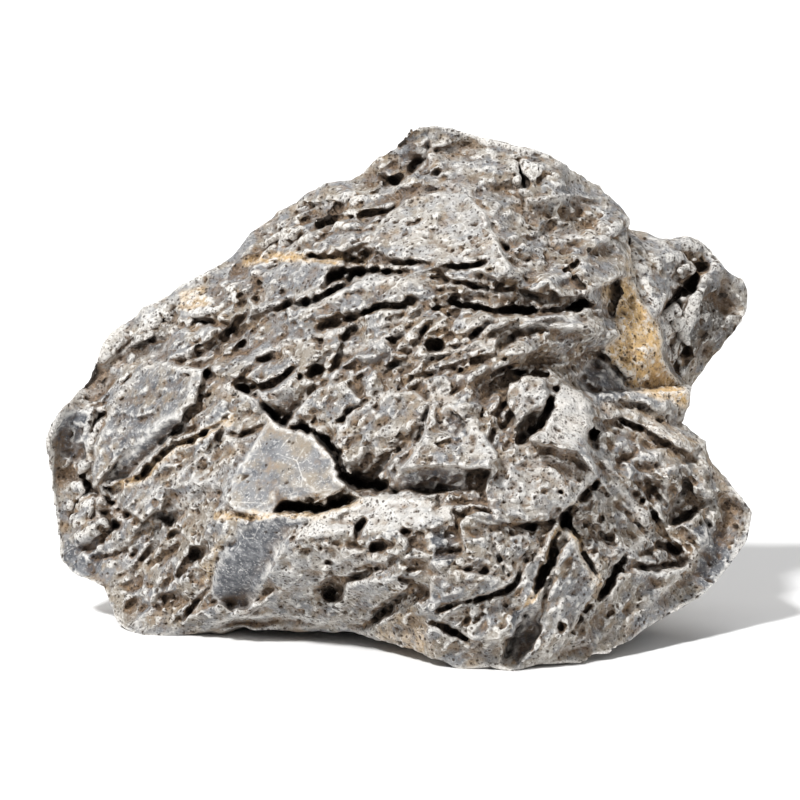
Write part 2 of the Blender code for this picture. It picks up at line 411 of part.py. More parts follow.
# Cracks of the flanks: points in millimetres from the middle (right, away, up), width, depth
CRACK_REACH = 26            # how far off its points a crack still cuts
FLANK_CRACKS = [
    ([(-95, -10, 4), (-88, 10, 8), (-70, 34, 10)], 3.5, 6),
    ([(-92, -6, -22), (-80, 16, -16), (-66, 32, -22)], 3.5, 6),
    ([(-60, -6, 38), (-52, 16, 40), (-44, 34, 30)], 3.0, 5),
    ([(-20, 4, 64), (-6, 24, 62), (4, 44, 52)], 3.5, 6),
    ([(30, 2, 72), (40, 22, 66), (36, 46, 54)], 3.0, 5),
    ([(100, 22, 20), (92, 44, 14), (76, 58, 16)], 3.5, 6),
    ([(102, 4, -22), (94, 26, -22), (84, 46, -30)], 3.5, 6),
    ([(98, 0, -42), (84, 24, -46), (64, 46, -46)], 3.0, 5),
    ([(92, -14, -10), (100, 10, -8), (94, 30, -4)], 3.0, 5),
]

# How far the rim wanders to and fro in depth: length in pixels, distance, seed
RIM_SWAY = [(46.0, 9.0, 61), (17.0, 5.0, 62)]
SWAY_ENDS = (60, 110)       # pixels below the heart over which it stops wandering
RIM_FADE = 0.1              # share of the way in from the rim over which the relief begins

# Flat spots that it rests on: right, away (millimetres from the middle), radius
REST_SPOTS = [(33, -53, 17), (-64, -6, 15), (36, 42, 17)]
REST_RIM = (0.7, 1.5)       # shares of that radius over which a spot rises to the hollow underside
REST_DROP = 6.0             # how far a spot drops below the underside, so that the ground cuts it flat
GROUND_CLEARANCE = 3.2      # height of the hollow underside over the ground
UNDERSIDE_WAVES = [(14.0, 1.6, 71), (6.0, 0.9, 72)]     # size across, height, seed
GROUND_BLOCK = (500.0, 500.0, 100.0)                    # block under the ground line

# Lumps and hollows of the flanks and the back: size across, height, seed
LUMPS = [(24.0, 1.6, 11), (10.0, 0.9, 23)]
LUMPS_BEGIN = (-10, 30)     # places away from the front over which they begin
LUMPS_CLEAR = (1.5, 5.0)    # heights over the ground over which they begin

# Run of the grain: picture x, picture y, degrees up from the right
FRONT_GRAIN = [
    (500, 430, 35), (440, 470, 35), (400, 510, 50), (590, 380, 25), (560, 415, 15), (620, 380, 0),
    (660, 395, -20), (690, 420, -30), (540, 450, 15), (600, 450, 0), (650, 455, 0), (690, 450, 10),
    (450, 490, 25), (500, 490, 25), (560, 490, 30), (620, 485, 35), (670, 485, 20), (430, 530, 45),
    (450, 560, 40), (400, 560, 60), (430, 600, 50), (450, 630, 40), (480, 640, 20), (540, 600, 15),
    (580, 600, 0), (560, 640, 20), (610, 600, -30), (640, 640, 60), (680, 640, 60), (710, 640, 40),
    (700, 540, -35), (730, 560, -35), (750, 590, -50), (710, 590, -45), (690, 510, -40), (720, 470, -60),
    (740, 440, -35), (760, 470, 60), (745, 500, 55), (520, 520, 45), (590, 540, 60), (640, 530, 70),
]
BACK_GRAIN = [
    (400, 560, -40), (480, 460, -30), (600, 400, -10), (700, 440, 20), (740, 560, 50), (600, 560, 10),
    (480, 620, -20),
]
GRAIN_SPREAD = 200          # how softly one run passes into the next, in square pixels

# Folds that follow the grain: size in pixels, stretch along the grain, height, seed
FOLDS = [(26.0, 2.2, 2.6, 41), (13.0, 2.6, 1.5, 43)]
FOLD_STEPS = 9              # places averaged each way along the grain
FOLD_LEVEL = 0.6            # where a fold neither rises nor falls, as a share of its height

ROUGH_EDGE = [(9.0, 1.1, 5), (3.5, 0.5, 6)]      # how far a broken edge wanders: length, distance, seed
EDGE_SOFTNESS = 0.5         # half width of a plate's broken edge
WORN_WIDTH = 1.8            # how far the wear reaches in from that edge
WORN_DEPTH = 0.6
PLATE_MARGIN = 4            # pixels round a plate's outline that its wandering edge may reach
CREST_ENDS = 0.12           # share of a crest's length over which each end fades
CREVICE_ENDS = 0.2
CREVICE_LEAST = 0.25        # width and depth of a crevice at its very ends
FRONT_FULLNESS = 4          # how square the front is toward its rim
BACK_FULLNESS = 6
DEEPEST_CUT = 0.45          # share of the thickness behind the rim that a crevice may reach into

STONE_COLOUR = (0.33, 0.31, 0.28)
STONE_ROUGHNESS = 0.85

HASH_X, HASH_Y, HASH_Z, HASH_SEED, HASH_MIX = 73856093, 19349663, 83492791, 2654435761, 1274126177
HASH_BITS = 0xFFFFFF


def smooth(low, high, value):
    share = np.clip((value - low) / (high - low), 0, 1)
    return share * share * (3 - 2 * share)


def lattice(x, y, z, seed):
    """A steady pseudo-random number from -1 to 1 for each whole-number place."""
    mixed = (x * HASH_X) ^ (y * HASH_Y) ^ (z * HASH_Z) ^ (seed * HASH_SEED)
    mixed = (mixed ^ (mixed >> 13)) * HASH_MIX
    mixed = mixed ^ (mixed >> 16)
    return (mixed & HASH_BITS) / HASH_BITS * 2 - 1


def noise(points, seed):
    """Smooth noise from -1 to 1 at each row of points."""
    corner = np.floor(points).astype(np.int64)
    share = points - corner
    share = share * share * (3 - 2 * share)
    total = np.zeros(len(points))
    for step in np.ndindex(2, 2, 2):
        weight = np.ones(len(points))
        for axis in range(3):
            weight *= share[:, axis] if step[axis] else 1 - share[:, axis]
        total += weight * lattice(*(corner + step).T, seed)
    return total


def near_line(px, py, line):
    """Distance to a line of points, and the share of the line that lies before the nearest point."""
    pieces = list(zip(line, line[1:]))
    whole = sum(math.dist(a, b) for a, b in pieces)
    nearest = np.full(px.shape, np.inf)
    along = np.zeros(px.shape)
    before = 0.0
    for a, b in pieces:
        length = math.dist(a, b)
        ahead = ((px - a[0]) * (b[0] - a[0]) + (py - a[1]) * (b[1] - a[1])) / length
        ahead = np.clip(ahead, 0, length)
        away = np.hypot(
            px - a[0] - ahead * (b[0] - a[0]) / length,
            py - a[1] - ahead * (b[1] - a[1]) / length,
        )
        closer = away < nearest
        nearest = np.where(closer, away, nearest)
        along = np.where(closer, (before + ahead) / whole, along)
        before += length
    return nearest, along


def within(px, py, outline):
    """Whether each place lies inside an outline."""
    crossings = np.zeros(px.shape, bool)
    for (ax, ay), (bx, by) in zip(outline, outline[1:] + outline[:1]):
        if ay == by:
            continue
        level = (ay > py) != (by > py)
        crossings ^= level & (px < ax + (py - ay) * (bx - ax) / (by - ay))
    return crossings


def thin_sheet(points, px, py):
    """A smoothly bent sheet through scattered depths, read at the places px, py."""
    known = np.array(points, float)
    count = len(known)

    def bend(x, y):
        square = x * x + y * y
        return square * np.log(square + 1)

    matrix = np.zeros((count + 3, count + 3))
    matrix[:count, :count] = bend(*(known[:, None, axis] - known[None, :, axis] for axis in (0, 1)))
    matrix[:count, count:] = np.column_stack([np.ones(count), known[:, :2]])
    matrix[count:, :count] = matrix[:count, count:].T
    weights = np.linalg.solve(matrix, np.append(known[:, 2], [0, 0, 0]))
    sheet = weights[count] + weights[count + 1] * px + weights[count + 2] * py
    for (x, y, _), weight in zip(known, weights):
        sheet = sheet + weight * bend(px - x, py - y)
    return sheet


class Side:
    """One side of the stone: a sheet of depths over the picture, in millimetres outward from the stone."""

    LEFT, TOP, RIGHT, BOTTOM = 352, 348, 792, 694

    def __init__(self, depths, step, outward):
        self.step = step
        self.outward = outward
        across = np.arange(self.LEFT, self.RIGHT, step)
        down = np.arange(self.TOP, self.BOTTOM, step)
        self.px, self.py = np.meshgrid(across, down)
        self.base = self.sheet(depths)
        self.height = self.base.copy()
        self.rough_px, self.rough_py = self.px.copy(), self.py.copy()
        for length, distance, seed in ROUGH_EDGE:
            for places, part in ((self.rough_px, 0), (self.rough_py, 1)):
                flat = np.column_stack([self.px.ravel() / length, self.py.ravel() / length])
                flat = np.column_stack([flat, np.full(len(flat), 0.5 + part)])
                places += distance * noise(flat, seed + part).reshape(self.px.shape)

    def sheet(self, depths):
        return self.outward * thin_sheet(depths, self.px, self.py)

    def near(self, points, margin):
        """The part of the sheet round some points."""
        xs, ys = [p[0] for p in points], [p[1] for p in points]
        left = max(int((min(xs) - margin - self.LEFT) / self.step), 0)
        top = max(int((min(ys) - margin - self.TOP) / self.step), 0)
        right = int((max(xs) + margin - self.LEFT) / self.step) + 1
        bottom = int((max(ys) + margin - self.TOP) / self.step) + 1
        return slice(top, bottom), slice(left, right)

    def follow(self, grain):
        """Sets the run of the grain from the places where it is known."""
        along, across = np.zeros(self.px.shape), np.zeros(self.px.shape)
        for x, y, turn in grain:
            weight = 1 / ((self.px - x) ** 2 + (self.py - y) ** 2 + GRAIN_SPREAD)
            along += weight * math.cos(2 * math.radians(turn))
            across += weight * math.sin(2 * math.radians(turn))
        turn = np.arctan2(across, along) / 2
        self.run_x, self.run_y = np.cos(turn), -np.sin(turn)

    def fold(self, size, stretch, height, seed):
        """Raises sharp folds that run with the grain."""
        flat = np.column_stack([self.px.ravel() / size, self.py.ravel() / size, np.full(self.px.size, 0.5)])
        grid = noise(flat, seed).reshape(self.px.shape)
        total = grid.copy()
        stride = stretch * size / FOLD_STEPS
        for way in (stride, -stride):
            px, py = self.px.copy(), self.py.copy()
            run_x, run_y = self.run_x, self.run_y
            for _ in range(FOLD_STEPS):
                px, py = px + way * run_x, py + way * run_y
                next_x, next_y = self.read(self.run_x, px, py), self.read(self.run_y, px, py)
                same = np.where(next_x * run_x + next_y * run_y < 0, -1, 1)
                run_x, run_y = next_x * same, next_y * same
                total += self.read(grid, px, py)
        total /= total.std()
        self.height += height * (FOLD_LEVEL - np.abs(total))

    def plate(self, outline, flat, lift, right, down):
        """Breaks one flat facet into the sheet."""
        area = self.near(outline, PLATE_MARGIN)
        px, py = self.rough_px[area], self.rough_py[area]
        inside = within(px, py, outline)
        edge = near_line(px, py, outline + outline[:1])[0] * PIXEL * np.where(inside, 1, -1)
        height = self.height[area]
        px, py = self.px[area], self.py[area]
        middle = px[inside].mean(), py[inside].mean()
        frame = np.column_stack([np.ones(inside.sum()), px[inside] - middle[0], py[inside] - middle[1]])
        level, slope_x, slope_y = np.linalg.lstsq(frame, height[inside], rcond=None)[0]
        plane = level + slope_x * (px - middle[0]) + slope_y * (py - middle[1])
        broken = plane + (1 - flat) * (height - plane) + lift
        broken += PIXEL * (right * (px - middle[0]) + down * (py - middle[1]))
        broken -= WORN_DEPTH * (1 - smooth(0, WORN_WIDTH, edge))
        self.height[area] += smooth(-EDGE_SOFTNESS, EDGE_SOFTNESS, edge) * (broken - height)

    def crest(self, line, width, rise):
        area = self.near(line, width)
        away, along = near_line(self.rough_px[area], self.rough_py[area], line)
        fade = smooth(0, CREST_ENDS, along) * smooth(0, CREST_ENDS, 1 - along)
        self.height[area] += rise * fade * np.clip(1 - 2 * away / width, 0, 1)

    def crevice(self, line, width, depth):
        area = self.near(line, width)
        away, along = near_line(self.rough_px[area], self.rough_py[area], line)
        fade = smooth(0, CREVICE_ENDS, along) * smooth(0, CREVICE_ENDS, 1 - along)
        fade = CREVICE_LEAST + (1 - CREVICE_LEAST) * fade
        share = np.clip(1 - (2 * away / (width * fade)) ** 2, 0, 1)
        self.height[area] -= depth * fade * np.sqrt(share)

    def hole(self, x, y, length, width, turn, depth):
        area = self.near([(x, y)], length)
        dx, dy = self.rough_px[area] - x, self.rough_py[area] - y
        cos, sin = math.cos(math.radians(turn)), math.sin(math.radians(turn))
        square = (2 * (dx * cos - dy * sin) / length) ** 2 + (2 * (dx * sin + dy * cos) / width) ** 2
        self.height[area] -= depth * np.sqrt(np.clip(1 - square, 0, 1))

    def read(self, grid, px, py):
        """Values of a grid at places between its points."""
        x = np.clip((px - self.LEFT) / self.step, 0, grid.shape[1] - 1.001)
        y = np.clip((py - self.TOP) / self.step, 0, grid.shape[0] - 1.001)
        column, row = x.astype(int), y.astype(int)
        x, y = x - column, y - row
        upper = grid[row, column] * (1 - x) + grid[row, column + 1] * x
        lower = grid[row + 1, column] * (1 - x) + grid[row + 1, column + 1] * x
        return upper * (1 - y) + lower * y


def make_front():
    front = Side(FRONT_DEPTHS, SHEET_STEP, 1)
    lobe = within(front.rough_px, front.rough_py, LOBE_EDGE)
    front.height = np.where(lobe, front.sheet(LOBE_DEPTHS), front.height)
    front.base = front.height.copy()
    front.follow(FRONT_GRAIN)
    for fold in FOLDS:
        front.fold(*fold)
    for plate in FRONT_PLATES:
        front.plate(*plate)
    for crest in FRONT_CRESTS:
        front.crest(*crest)
    for crevice in FRONT_CREVICES:
        front.crevice(*crevice)
    for hole in FRONT_HOLES:
        front.hole(*hole)
    return front


def make_back():
    back = Side(BACK_DEPTHS, SHEET_STEP, -1)
    back.follow(BACK_GRAIN)
    for fold in FOLDS:
        back.fold(*fold)
    for plate in BACK_PLATES:
        back.plate(*plate)
    for crest in BACK_CRESTS:
        back.crest(*crest)
    for crevice in BACK_CREVICES:
        back.crevice(*crevice)
    for hole in BACK_HOLES:
        back.hole(*hole)
    return back


def to_space(px, py, depth):
    """Millimetres right, away and up of a picture place at a depth, true to the eye's perspective."""
    nearness = 1 - depth / EYE_DISTANCE
    right = (px - AIM_X) * PIXEL * nearness
    rise = (AIM_Y - py) * PIXEL * nearness
    away = rise * math.sin(LOOK_DOWN) - depth * math.cos(LOOK_DOWN)
    up = rise * math.cos(LOOK_DOWN) + depth * math.sin(LOOK_DOWN)
    return np.column_stack([right, away, up + AIM_HEIGHT])


def compass(turn, tilt):
    turn, tilt = math.radians(turn), math.radians(tilt)
    return np.array([math.cos(tilt) * math.sin(turn), -math.cos(tilt) * math.cos(turn), math.sin(tilt)])


def break_faces(points, behind_rim):
    """Flattens what lies behind the rim against planes."""
    middle = np.array([0, 0, AIM_HEIGHT])
    share = BROKEN_SHARE * smooth(*BROKEN_REACH, behind_rim)
    for turn, tilt, distance in BROKEN_FACES:
        normal = compass(turn, tilt)
        beyond = np.maximum((points - middle) @ normal - distance, 0)
        points = points - np.outer(beyond * share, normal)
    return points


def rough_block(ball):
    """Moves the points of a unit ball onto the stone's outline, front and back."""
    right, away, up = ball.T
    toward = -away
    turn = np.arctan2(up, right)
    out = 1 - np.arcsin(np.clip(np.abs(toward), 0, 1)) / (math.pi / 2)
    rim = np.array(OUTLINE, float)
    rim_turn = np.arctan2(HEART[1] - rim[:, 1], rim[:, 0] - HEART[0])
    rim_reach = np.hypot(rim[:, 0] - HEART[0], rim[:, 1] - HEART[1])
    order = np.argsort(rim_turn)
    reach = np.interp(turn, rim_turn[order], rim_reach[order], period=2 * math.pi)
    rim_depth = np.interp(turn, rim_turn[order], rim[order, 2], period=2 * math.pi)
    px = HEART[0] + reach * out * np.cos(turn)
    py = HEART[1] - reach * out * np.sin(turn)
    front_bulge, back_bulge = np.sqrt(1 - out ** FRONT_FULLNESS), np.sqrt(1 - out ** BACK_FULLNESS)
    detail = smooth(0, RIM_FADE, 1 - out)
    around = np.column_stack([px, py, np.zeros(len(px))])
    steady = smooth(*SWAY_ENDS, py - HEART[1])
    for size, sway, seed in RIM_SWAY:
        rim_depth = rim_depth + sway * (1 - steady) * noise(around / size, seed)
    front, back = make_front(), make_back()
    depth = rim_depth.copy()
    for side, bulge, other, other_bulge, mine in (
        (front, front_bulge, back, back_bulge, toward >= 0),
        (back, back_bulge, front, front_bulge, toward < 0),
    ):
        base = side.read(side.base, px, py)
        broken = side.read(side.height, px, py) - base
        outward = bulge * (base - side.outward * rim_depth) + detail * broken
        behind = other_bulge * (other.read(other.base, px, py) - other.outward * rim_depth)
        outward = np.maximum(outward, -DEEPEST_CUT * behind)
        depth = np.where(mine, rim_depth + side.outward * outward, depth)
    return break_faces(to_space(px, py, depth), rim_depth - depth)


def hollow_underside(points):
    """Lifts the underside clear of the ground everywhere but at the rest spots."""
    floor = np.full(len(points), GROUND_CLEARANCE)
    for size, height, seed in UNDERSIDE_WAVES:
        floor += height * noise(points * [1 / size, 1 / size, 0], seed)
    for x, y, radius in REST_SPOTS:
        away = np.hypot(points[:, 0] - x, points[:, 1] - y)
        floor -= REST_DROP * (1 - smooth(*REST_RIM, away / radius))
    low = np.maximum(points[:, 2], floor)
    return np.column_stack([points[:, :2], low])


def crack_flanks(points, normals):
    middle = np.array([0, 0, AIM_HEIGHT])
    for line, width, depth in FLANK_CRACKS:
        nearest = np.full(len(points), np.inf)
        for a, b in zip(line, line[1:]):
            a, b = np.array(a, float) + middle, np.array(b, float) + middle
            ahead = np.clip((points - a) @ (b - a) / np.dot(b - a, b - a), 0, 1)
            gap = points - a - np.outer(ahead, b - a)
            across = gap - normals * (gap * normals).sum(1)[:, None]
            off = np.linalg.norm(across, axis=1)
            off[np.linalg.norm(gap, axis=1) > CRACK_REACH] = np.inf
            nearest = np.minimum(nearest, off)
        share = np.clip(1 - (2 * nearest / width) ** 2, 0, 1)
        points = points - normals * (depth * np.sqrt(share))[:, None]
    return points


def add_lumps(points, normals):
    """Roughens the flanks and the back, where no narrow crevice would close."""
    rise = np.zeros(len(points))
    for size, height, seed in LUMPS:
        rise += height * (FOLD_LEVEL - 2 * np.abs(noise(points / size, seed)))
    behind = smooth(*LUMPS_BEGIN, points[:, 1])
    clear = smooth(*LUMPS_CLEAR, points[:, 2])
    return points + normals * (rise * behind * clear)[:, None]


def mesh_points(mesh):
    flat = np.empty(len(mesh.vertices) * 3)
    mesh.vertices.foreach_get("co", flat)
    return flat.reshape(-1, 3)


def mesh_normals(mesh):
    flat = np.empty(len(mesh.vertices) * 3)
    mesh.vertex_normals.foreach_get("vector", flat)
    return flat.reshape(-1, 3)


def set_points(mesh, points):
    mesh.vertices.foreach_set("co", points.ravel())
    mesh.update()


def apply_modifier(obj, kind, **settings):
    modifier = obj.modifiers.new(kind.title(), kind)
    for name, value in settings.items():
        setattr(modifier, name, value)
    shaped = bpy.data.meshes.new_from_object(obj.evaluated_get(bpy.context.evaluated_depsgraph_get()))
    obj.modifiers.clear()
    old = obj.data
    obj.data = shaped
    bpy.data.meshes.remove(old)


def make_ball():
    ball = bmesh.new()
    bmesh.ops.create_icosphere(ball, subdivisions=BALL_SUBDIVISIONS, radius=1.0)
    mesh = bpy.data.meshes.new("stone")
    ball.to_mesh(mesh)
    ball.free()
    return mesh


def ground_cutter(collection):
    """A block under the ground line, which cuts the rest spots flat."""
    block = bmesh.new()
    bmesh.ops.create_cube(block, size=1.0)
    bmesh.ops.translate(block, vec=(0, 0, -0.5), verts=block.verts)
    bmesh.ops.scale(block, vec=[size * MM for size in GROUND_BLOCK], verts=block.verts)
    mesh = bpy.data.meshes.new("ground_cutter")
    block.to_mesh(mesh)
    block.free()
    cutter = bpy.data.objects.new("ground_cutter", mesh)
    cutter.hide_render = True
    cutter.display_type = "WIRE"
    collection.objects.link(cutter)
    return cutter


def stone_material():
    material = bpy.data.materials.new("limestone")
    material.use_nodes = True
    shader = material.node_tree.nodes["Principled BSDF"]
    shader.inputs["Base Color"].default_value = (*STONE_COLOUR, 1)
    shader.inputs["Roughness"].default_value = STONE_ROUGHNESS
    material.diffuse_color = (*STONE_COLOUR, 1)
    return material


def clear_scene():
    for obj in list(bpy.data.objects):
        bpy.data.objects.remove(obj, do_unlink=True)


def make_stone():
    parts = bpy.data.collections.new("seiryu_stone")
    cutters = bpy.data.collections.new("cutters")
    bpy.context.scene.collection.children.link(parts)
    bpy.context.scene.collection.children.link(cutters)

    stone = bpy.data.objects.new("stone", make_ball())
    parts.objects.link(stone)
    points = rough_block(mesh_points(stone.data))
    points = hollow_underside(points)
    set_points(stone.data, points * MM)
    apply_modifier(stone, "REMESH", mode="VOXEL", voxel_size=VOXEL * MM)

    points, normals = mesh_points(stone.data) / MM, mesh_normals(stone.data)
    points = crack_flanks(points, normals)
    points = add_lumps(points, normals)
    set_points(stone.data, points * MM)
    share = TRIANGLES / (2 * len(stone.data.polygons))
    apply_modifier(stone, "DECIMATE", decimate_type="COLLAPSE", ratio=share)
    apply_modifier(stone, "BOOLEAN", operation="DIFFERENCE", object=ground_cutter(cutters))

    points = mesh_points(stone.data) - np.array([*ORIGIN, 0]) * MM
    set_points(stone.data, points)
    print("box in millimetres", points.min(axis=0) / MM, points.max(axis=0) / MM)
    stone.data.materials.clear()
    stone.data.materials.append(stone_material())
    return stone


clear_scene()
make_stone()
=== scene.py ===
# %% [markdown]
# # A seiryu stone
# Seiryu stone is a hard blue-grey limestone that aquarium keepers set up as miniature cliffs. Rain and soil
# water have eaten ledges, crevices and thousands of small pits into it, and left sharp pale ridges between
# them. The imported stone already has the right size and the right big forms. This lesson dresses it: it
# builds the same stone again from the same named values, many times finer, and gives it its finish.

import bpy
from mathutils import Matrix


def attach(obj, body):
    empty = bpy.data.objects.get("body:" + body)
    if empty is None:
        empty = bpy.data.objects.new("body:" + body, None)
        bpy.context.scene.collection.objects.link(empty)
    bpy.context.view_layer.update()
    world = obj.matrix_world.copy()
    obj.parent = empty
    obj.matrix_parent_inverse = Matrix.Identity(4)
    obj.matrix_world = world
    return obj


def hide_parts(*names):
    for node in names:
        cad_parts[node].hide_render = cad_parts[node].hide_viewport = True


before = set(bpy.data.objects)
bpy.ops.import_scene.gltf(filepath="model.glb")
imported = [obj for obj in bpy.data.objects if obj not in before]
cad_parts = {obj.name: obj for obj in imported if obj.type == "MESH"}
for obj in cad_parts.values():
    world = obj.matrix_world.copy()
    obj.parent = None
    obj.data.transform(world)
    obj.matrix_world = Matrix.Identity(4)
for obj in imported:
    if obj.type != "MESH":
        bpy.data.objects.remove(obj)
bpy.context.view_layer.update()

# %% [markdown]
# ## Where the eye is, and how large a pixel is
# The stone is described as it is seen: places are picture pixels, x to the right and y down, and depths are
# millimetres toward the eye. The eye looks down by ten degrees from two and a half metres away. One driving
# size, the width of the outline, sets how many millimetres a pixel is.

# %% Sizes
import math

import bmesh
import bpy
import numpy as np
from mathutils import Matrix, Vector, kdtree
from mathutils.bvhtree import BVHTree

MM = 0.001
STONE_WIDTH = 208.25        # across the outline, left tip to right flank, in millimetres
LOOK_DOWN = math.radians(10.0)
EYE_DISTANCE = 2500.0
AIM_X = 571.5               # picture place of the middle of the stone
AIM_Y = 520.5
AIM_HEIGHT = 68.0           # height of that middle over the ground
HEART = (571.0, 520.0)      # the outline is measured round this place
ORIGIN = (0.6, 6.05)        # middle of the stone's box from the aimed-at place, right and away
print("the stone is", STONE_WIDTH, "mm wide")

# %% [markdown]
# ## The outline
# The outline runs clockwise from the left tip. Each point has a picture place and the depth of the rim there,
# because the rim of a real stone isn't flat: the foot of this one comes far forward and its right lobe stands
# far back.

# %% The outline
OUTLINE = [
    (364, 545, -25), (371.5, 529, -24), (387, 510, -23), (402, 483.5, -22), (416, 472, -21),
    (436, 460.6, -20), (456, 449, -20), (473, 435, -20), (483.5, 422, -20), (499, 415, -19),
    (513.6, 402, -18), (528, 392, -17), (545, 391.7, -16), (551, 386, -16), (568, 371.6, -16),
    (579.6, 361.5, -15), (591, 359.5, -15), (608, 363, -14), (625.5, 368.7, -14), (643, 373, -13),
    (660, 377, -12), (680, 389, -12), (694, 402, -10), (706, 415, -8), (707.5, 418, -30),
    (717, 420, -32), (732, 424.7, -36), (746, 427.5, -40), (763, 439, -44), (780.5, 456, -46),
    (775, 472, -46), (772, 480.6, -46), (757.6, 498, -44), (742.5, 513.5, -42), (743.4, 516, -4),
    (743, 519.4, -3), (739, 531, -4), (737.5, 535, -4), (752, 546.7, -2), (754.7, 556.7, -2),
    (769, 572.5, -2), (780.5, 587, -2), (777.7, 602.6, 0), (766, 620, 4), (752, 635.6, 12),
    (734.6, 645.7, 20), (717.4, 655.7, 29), (703, 667, 36), (688.7, 677, 43), (671.5, 676.4, 46),
    (654, 677, 50), (638.5, 681.6, 54), (625.5, 678.7, 52), (611, 680, 51), (597, 678.7, 49),
    (585, 670, 44), (565, 664, 30), (545, 659, 12), (522, 658.6, 6), (499, 658, 4),
    (476, 660, 3), (459, 658, 3), (436, 660, 4), (419, 661.5, 3), (407, 654, -6),
    (400, 638.5, -10), (397.4, 631, -12), (378.7, 622.7, -20), (373, 617, -22), (370, 590, -24),
    (366, 560, -25),
]
PIXEL = STONE_WIDTH / (max(x for x, _, _ in OUTLINE) - min(x for x, _, _ in OUTLINE))
print("a pixel is", round(PIXEL, 3), "mm wide")

# %% [markdown]
# ## Steady noise
# Rock needs irregular numbers, but the same ones on every run. Each whole-number place of a lattice gets a
# key from its three numbers, and mixing the bits of the key gives one number. Noise runs smoothly between
# them.

# %% Noise
KEY_FACTORS = (73856093, 19349663, 83492791)        # for the numbers of a place
SEED_FACTOR, MIX_FACTOR = 2654435761, 1274126177
KEPT_BITS = 0xFFFFFF


def smooth(low, high, value):
    """0 below low, 1 above high, and an even passage between them."""
    share = np.clip((value - low) / (high - low), 0, 1)
    return share * share * (3 - 2 * share)


def lattice(key, seed):
    """A steady pseudo-random number from -1 to 1 for each key."""
    mixed = key ^ (seed * SEED_FACTOR)
    mixed = (mixed ^ (mixed >> 13)) * MIX_FACTOR
    mixed = mixed ^ (mixed >> 16)
    return (mixed & KEPT_BITS) / KEPT_BITS * 2 - 1


def noise(points, seed):
    """Smooth noise from -1 to 1 at each row of points."""
    keys, weights = [], []
    for column, factor in zip(points.T, KEY_FACTORS):
        corner = np.floor(column)
        share = smooth(0, 1, column - corner)
        corner = corner.astype(np.int64)
        keys.append((corner * factor, (corner + 1) * factor))
        weights.append((1 - share, share))
    total = np.zeros(len(points))
    for x, y, z in np.ndindex(2, 2, 2):
        weight = weights[0][x] * weights[1][y] * weights[2][z]
        total += weight * lattice(keys[0][x] ^ keys[1][y] ^ keys[2][z], seed)
    return total


print("noise at one place:", noise(np.array([[0.3, 0.6, 0.9]]), 1).round(3))

# %% [markdown]
# ## Lines and areas in the picture
# Ledges are drawn as outlines and crevices as lines. Two questions are asked of them over and over: how far a
# place is from a line, and whether it lies inside an outline.

# %% Lines and areas
def path(*numbers):
    """The places of a line or outline: x and y of each in turn."""
    return list(zip(numbers[::2], numbers[1::2]))


def near_line(px, py, line):
    """Distance to a line of points, and the share of the line that lies before the nearest point."""
    pieces = list(zip(line, line[1:]))
    whole = sum(math.dist(a, b) for a, b in pieces)
    nearest = np.full(px.shape, np.inf)
    along = np.zeros(px.shape)
    before = 0.0
    for a, b in pieces:
        length = math.dist(a, b)
        ahead = ((px - a[0]) * (b[0] - a[0]) + (py - a[1]) * (b[1] - a[1])) / length
        ahead = np.clip(ahead, 0, length)
        away = np.hypot(
            px - a[0] - ahead * (b[0] - a[0]) / length,
            py - a[1] - ahead * (b[1] - a[1]) / length,
        )
        closer = away < nearest
        nearest = np.where(closer, away, nearest)
        along = np.where(closer, (before + ahead) / whole, along)
        before += length
    return nearest, along


def within(px, py, outline):
    """Whether each place lies inside an outline."""
    crossings = np.zeros(px.shape, bool)
    for (ax, ay), (bx, by) in zip(outline, outline[1:] + outline[:1]):
        if ay == by:
            continue
        level = (ay > py) != (by > py)
        crossings ^= level & (px < ax + (py - ay) * (bx - ax) / (by - ay))
    return crossings


print("the heart is inside:", within(*np.array(HEART), [place[:2] for place in OUTLINE]))

# %% [markdown]
# ## A side of the stone as a sheet
# One could sculpt the rock by hand, but a script has to say where everything is. Each side, front and back,
# is a sheet of depths over the picture. It starts as the smoothest sheet through a few known depths, like a
# bent metal plate, and is then broken, cut and holed. Edges wander a little, because rock never breaks along
# a ruler.

# %% Bent sheets and noise over the picture
def picture_noise(px, py, size, seed, layer=0.5):
    """Smooth noise over the picture, with lumps about size pixels across."""
    flat = np.column_stack([px.ravel() / size, py.ravel() / size, np.full(px.size, layer)])
    return noise(flat, seed).reshape(px.shape)


def thin_sheet(points, px, py):
    """A smoothly bent sheet through scattered depths, read at the places px, py."""
    known = np.array(points, float)
    count = len(known)

    def bend(x, y):
        square = x * x + y * y
        return square * np.log(square + 1)

    matrix = np.zeros((count + 3, count + 3))
    matrix[:count, :count] = bend(*(known[:, None, axis] - known[None, :, axis] for axis in (0, 1)))
    matrix[:count, count:] = np.column_stack([np.ones(count), known[:, :2]])
    matrix[count:, :count] = matrix[:count, count:].T
    weights = np.linalg.solve(matrix, np.append(known[:, 2], [0, 0, 0]))
    sheet = weights[count] + weights[count + 1] * px + weights[count + 2] * py
    for (x, y, _), weight in zip(known, weights):
        sheet = sheet + weight * bend(px - x, py - y)
    return sheet


# %% One side
SHEET_STEP = 0.6            # pixels between the points of a sheet
ROUGH_EDGE = [(9.0, 1.5, 5), (3.5, 0.9, 6), (1.7, 0.55, 8)]     # an edge's wander: length, distance, seed


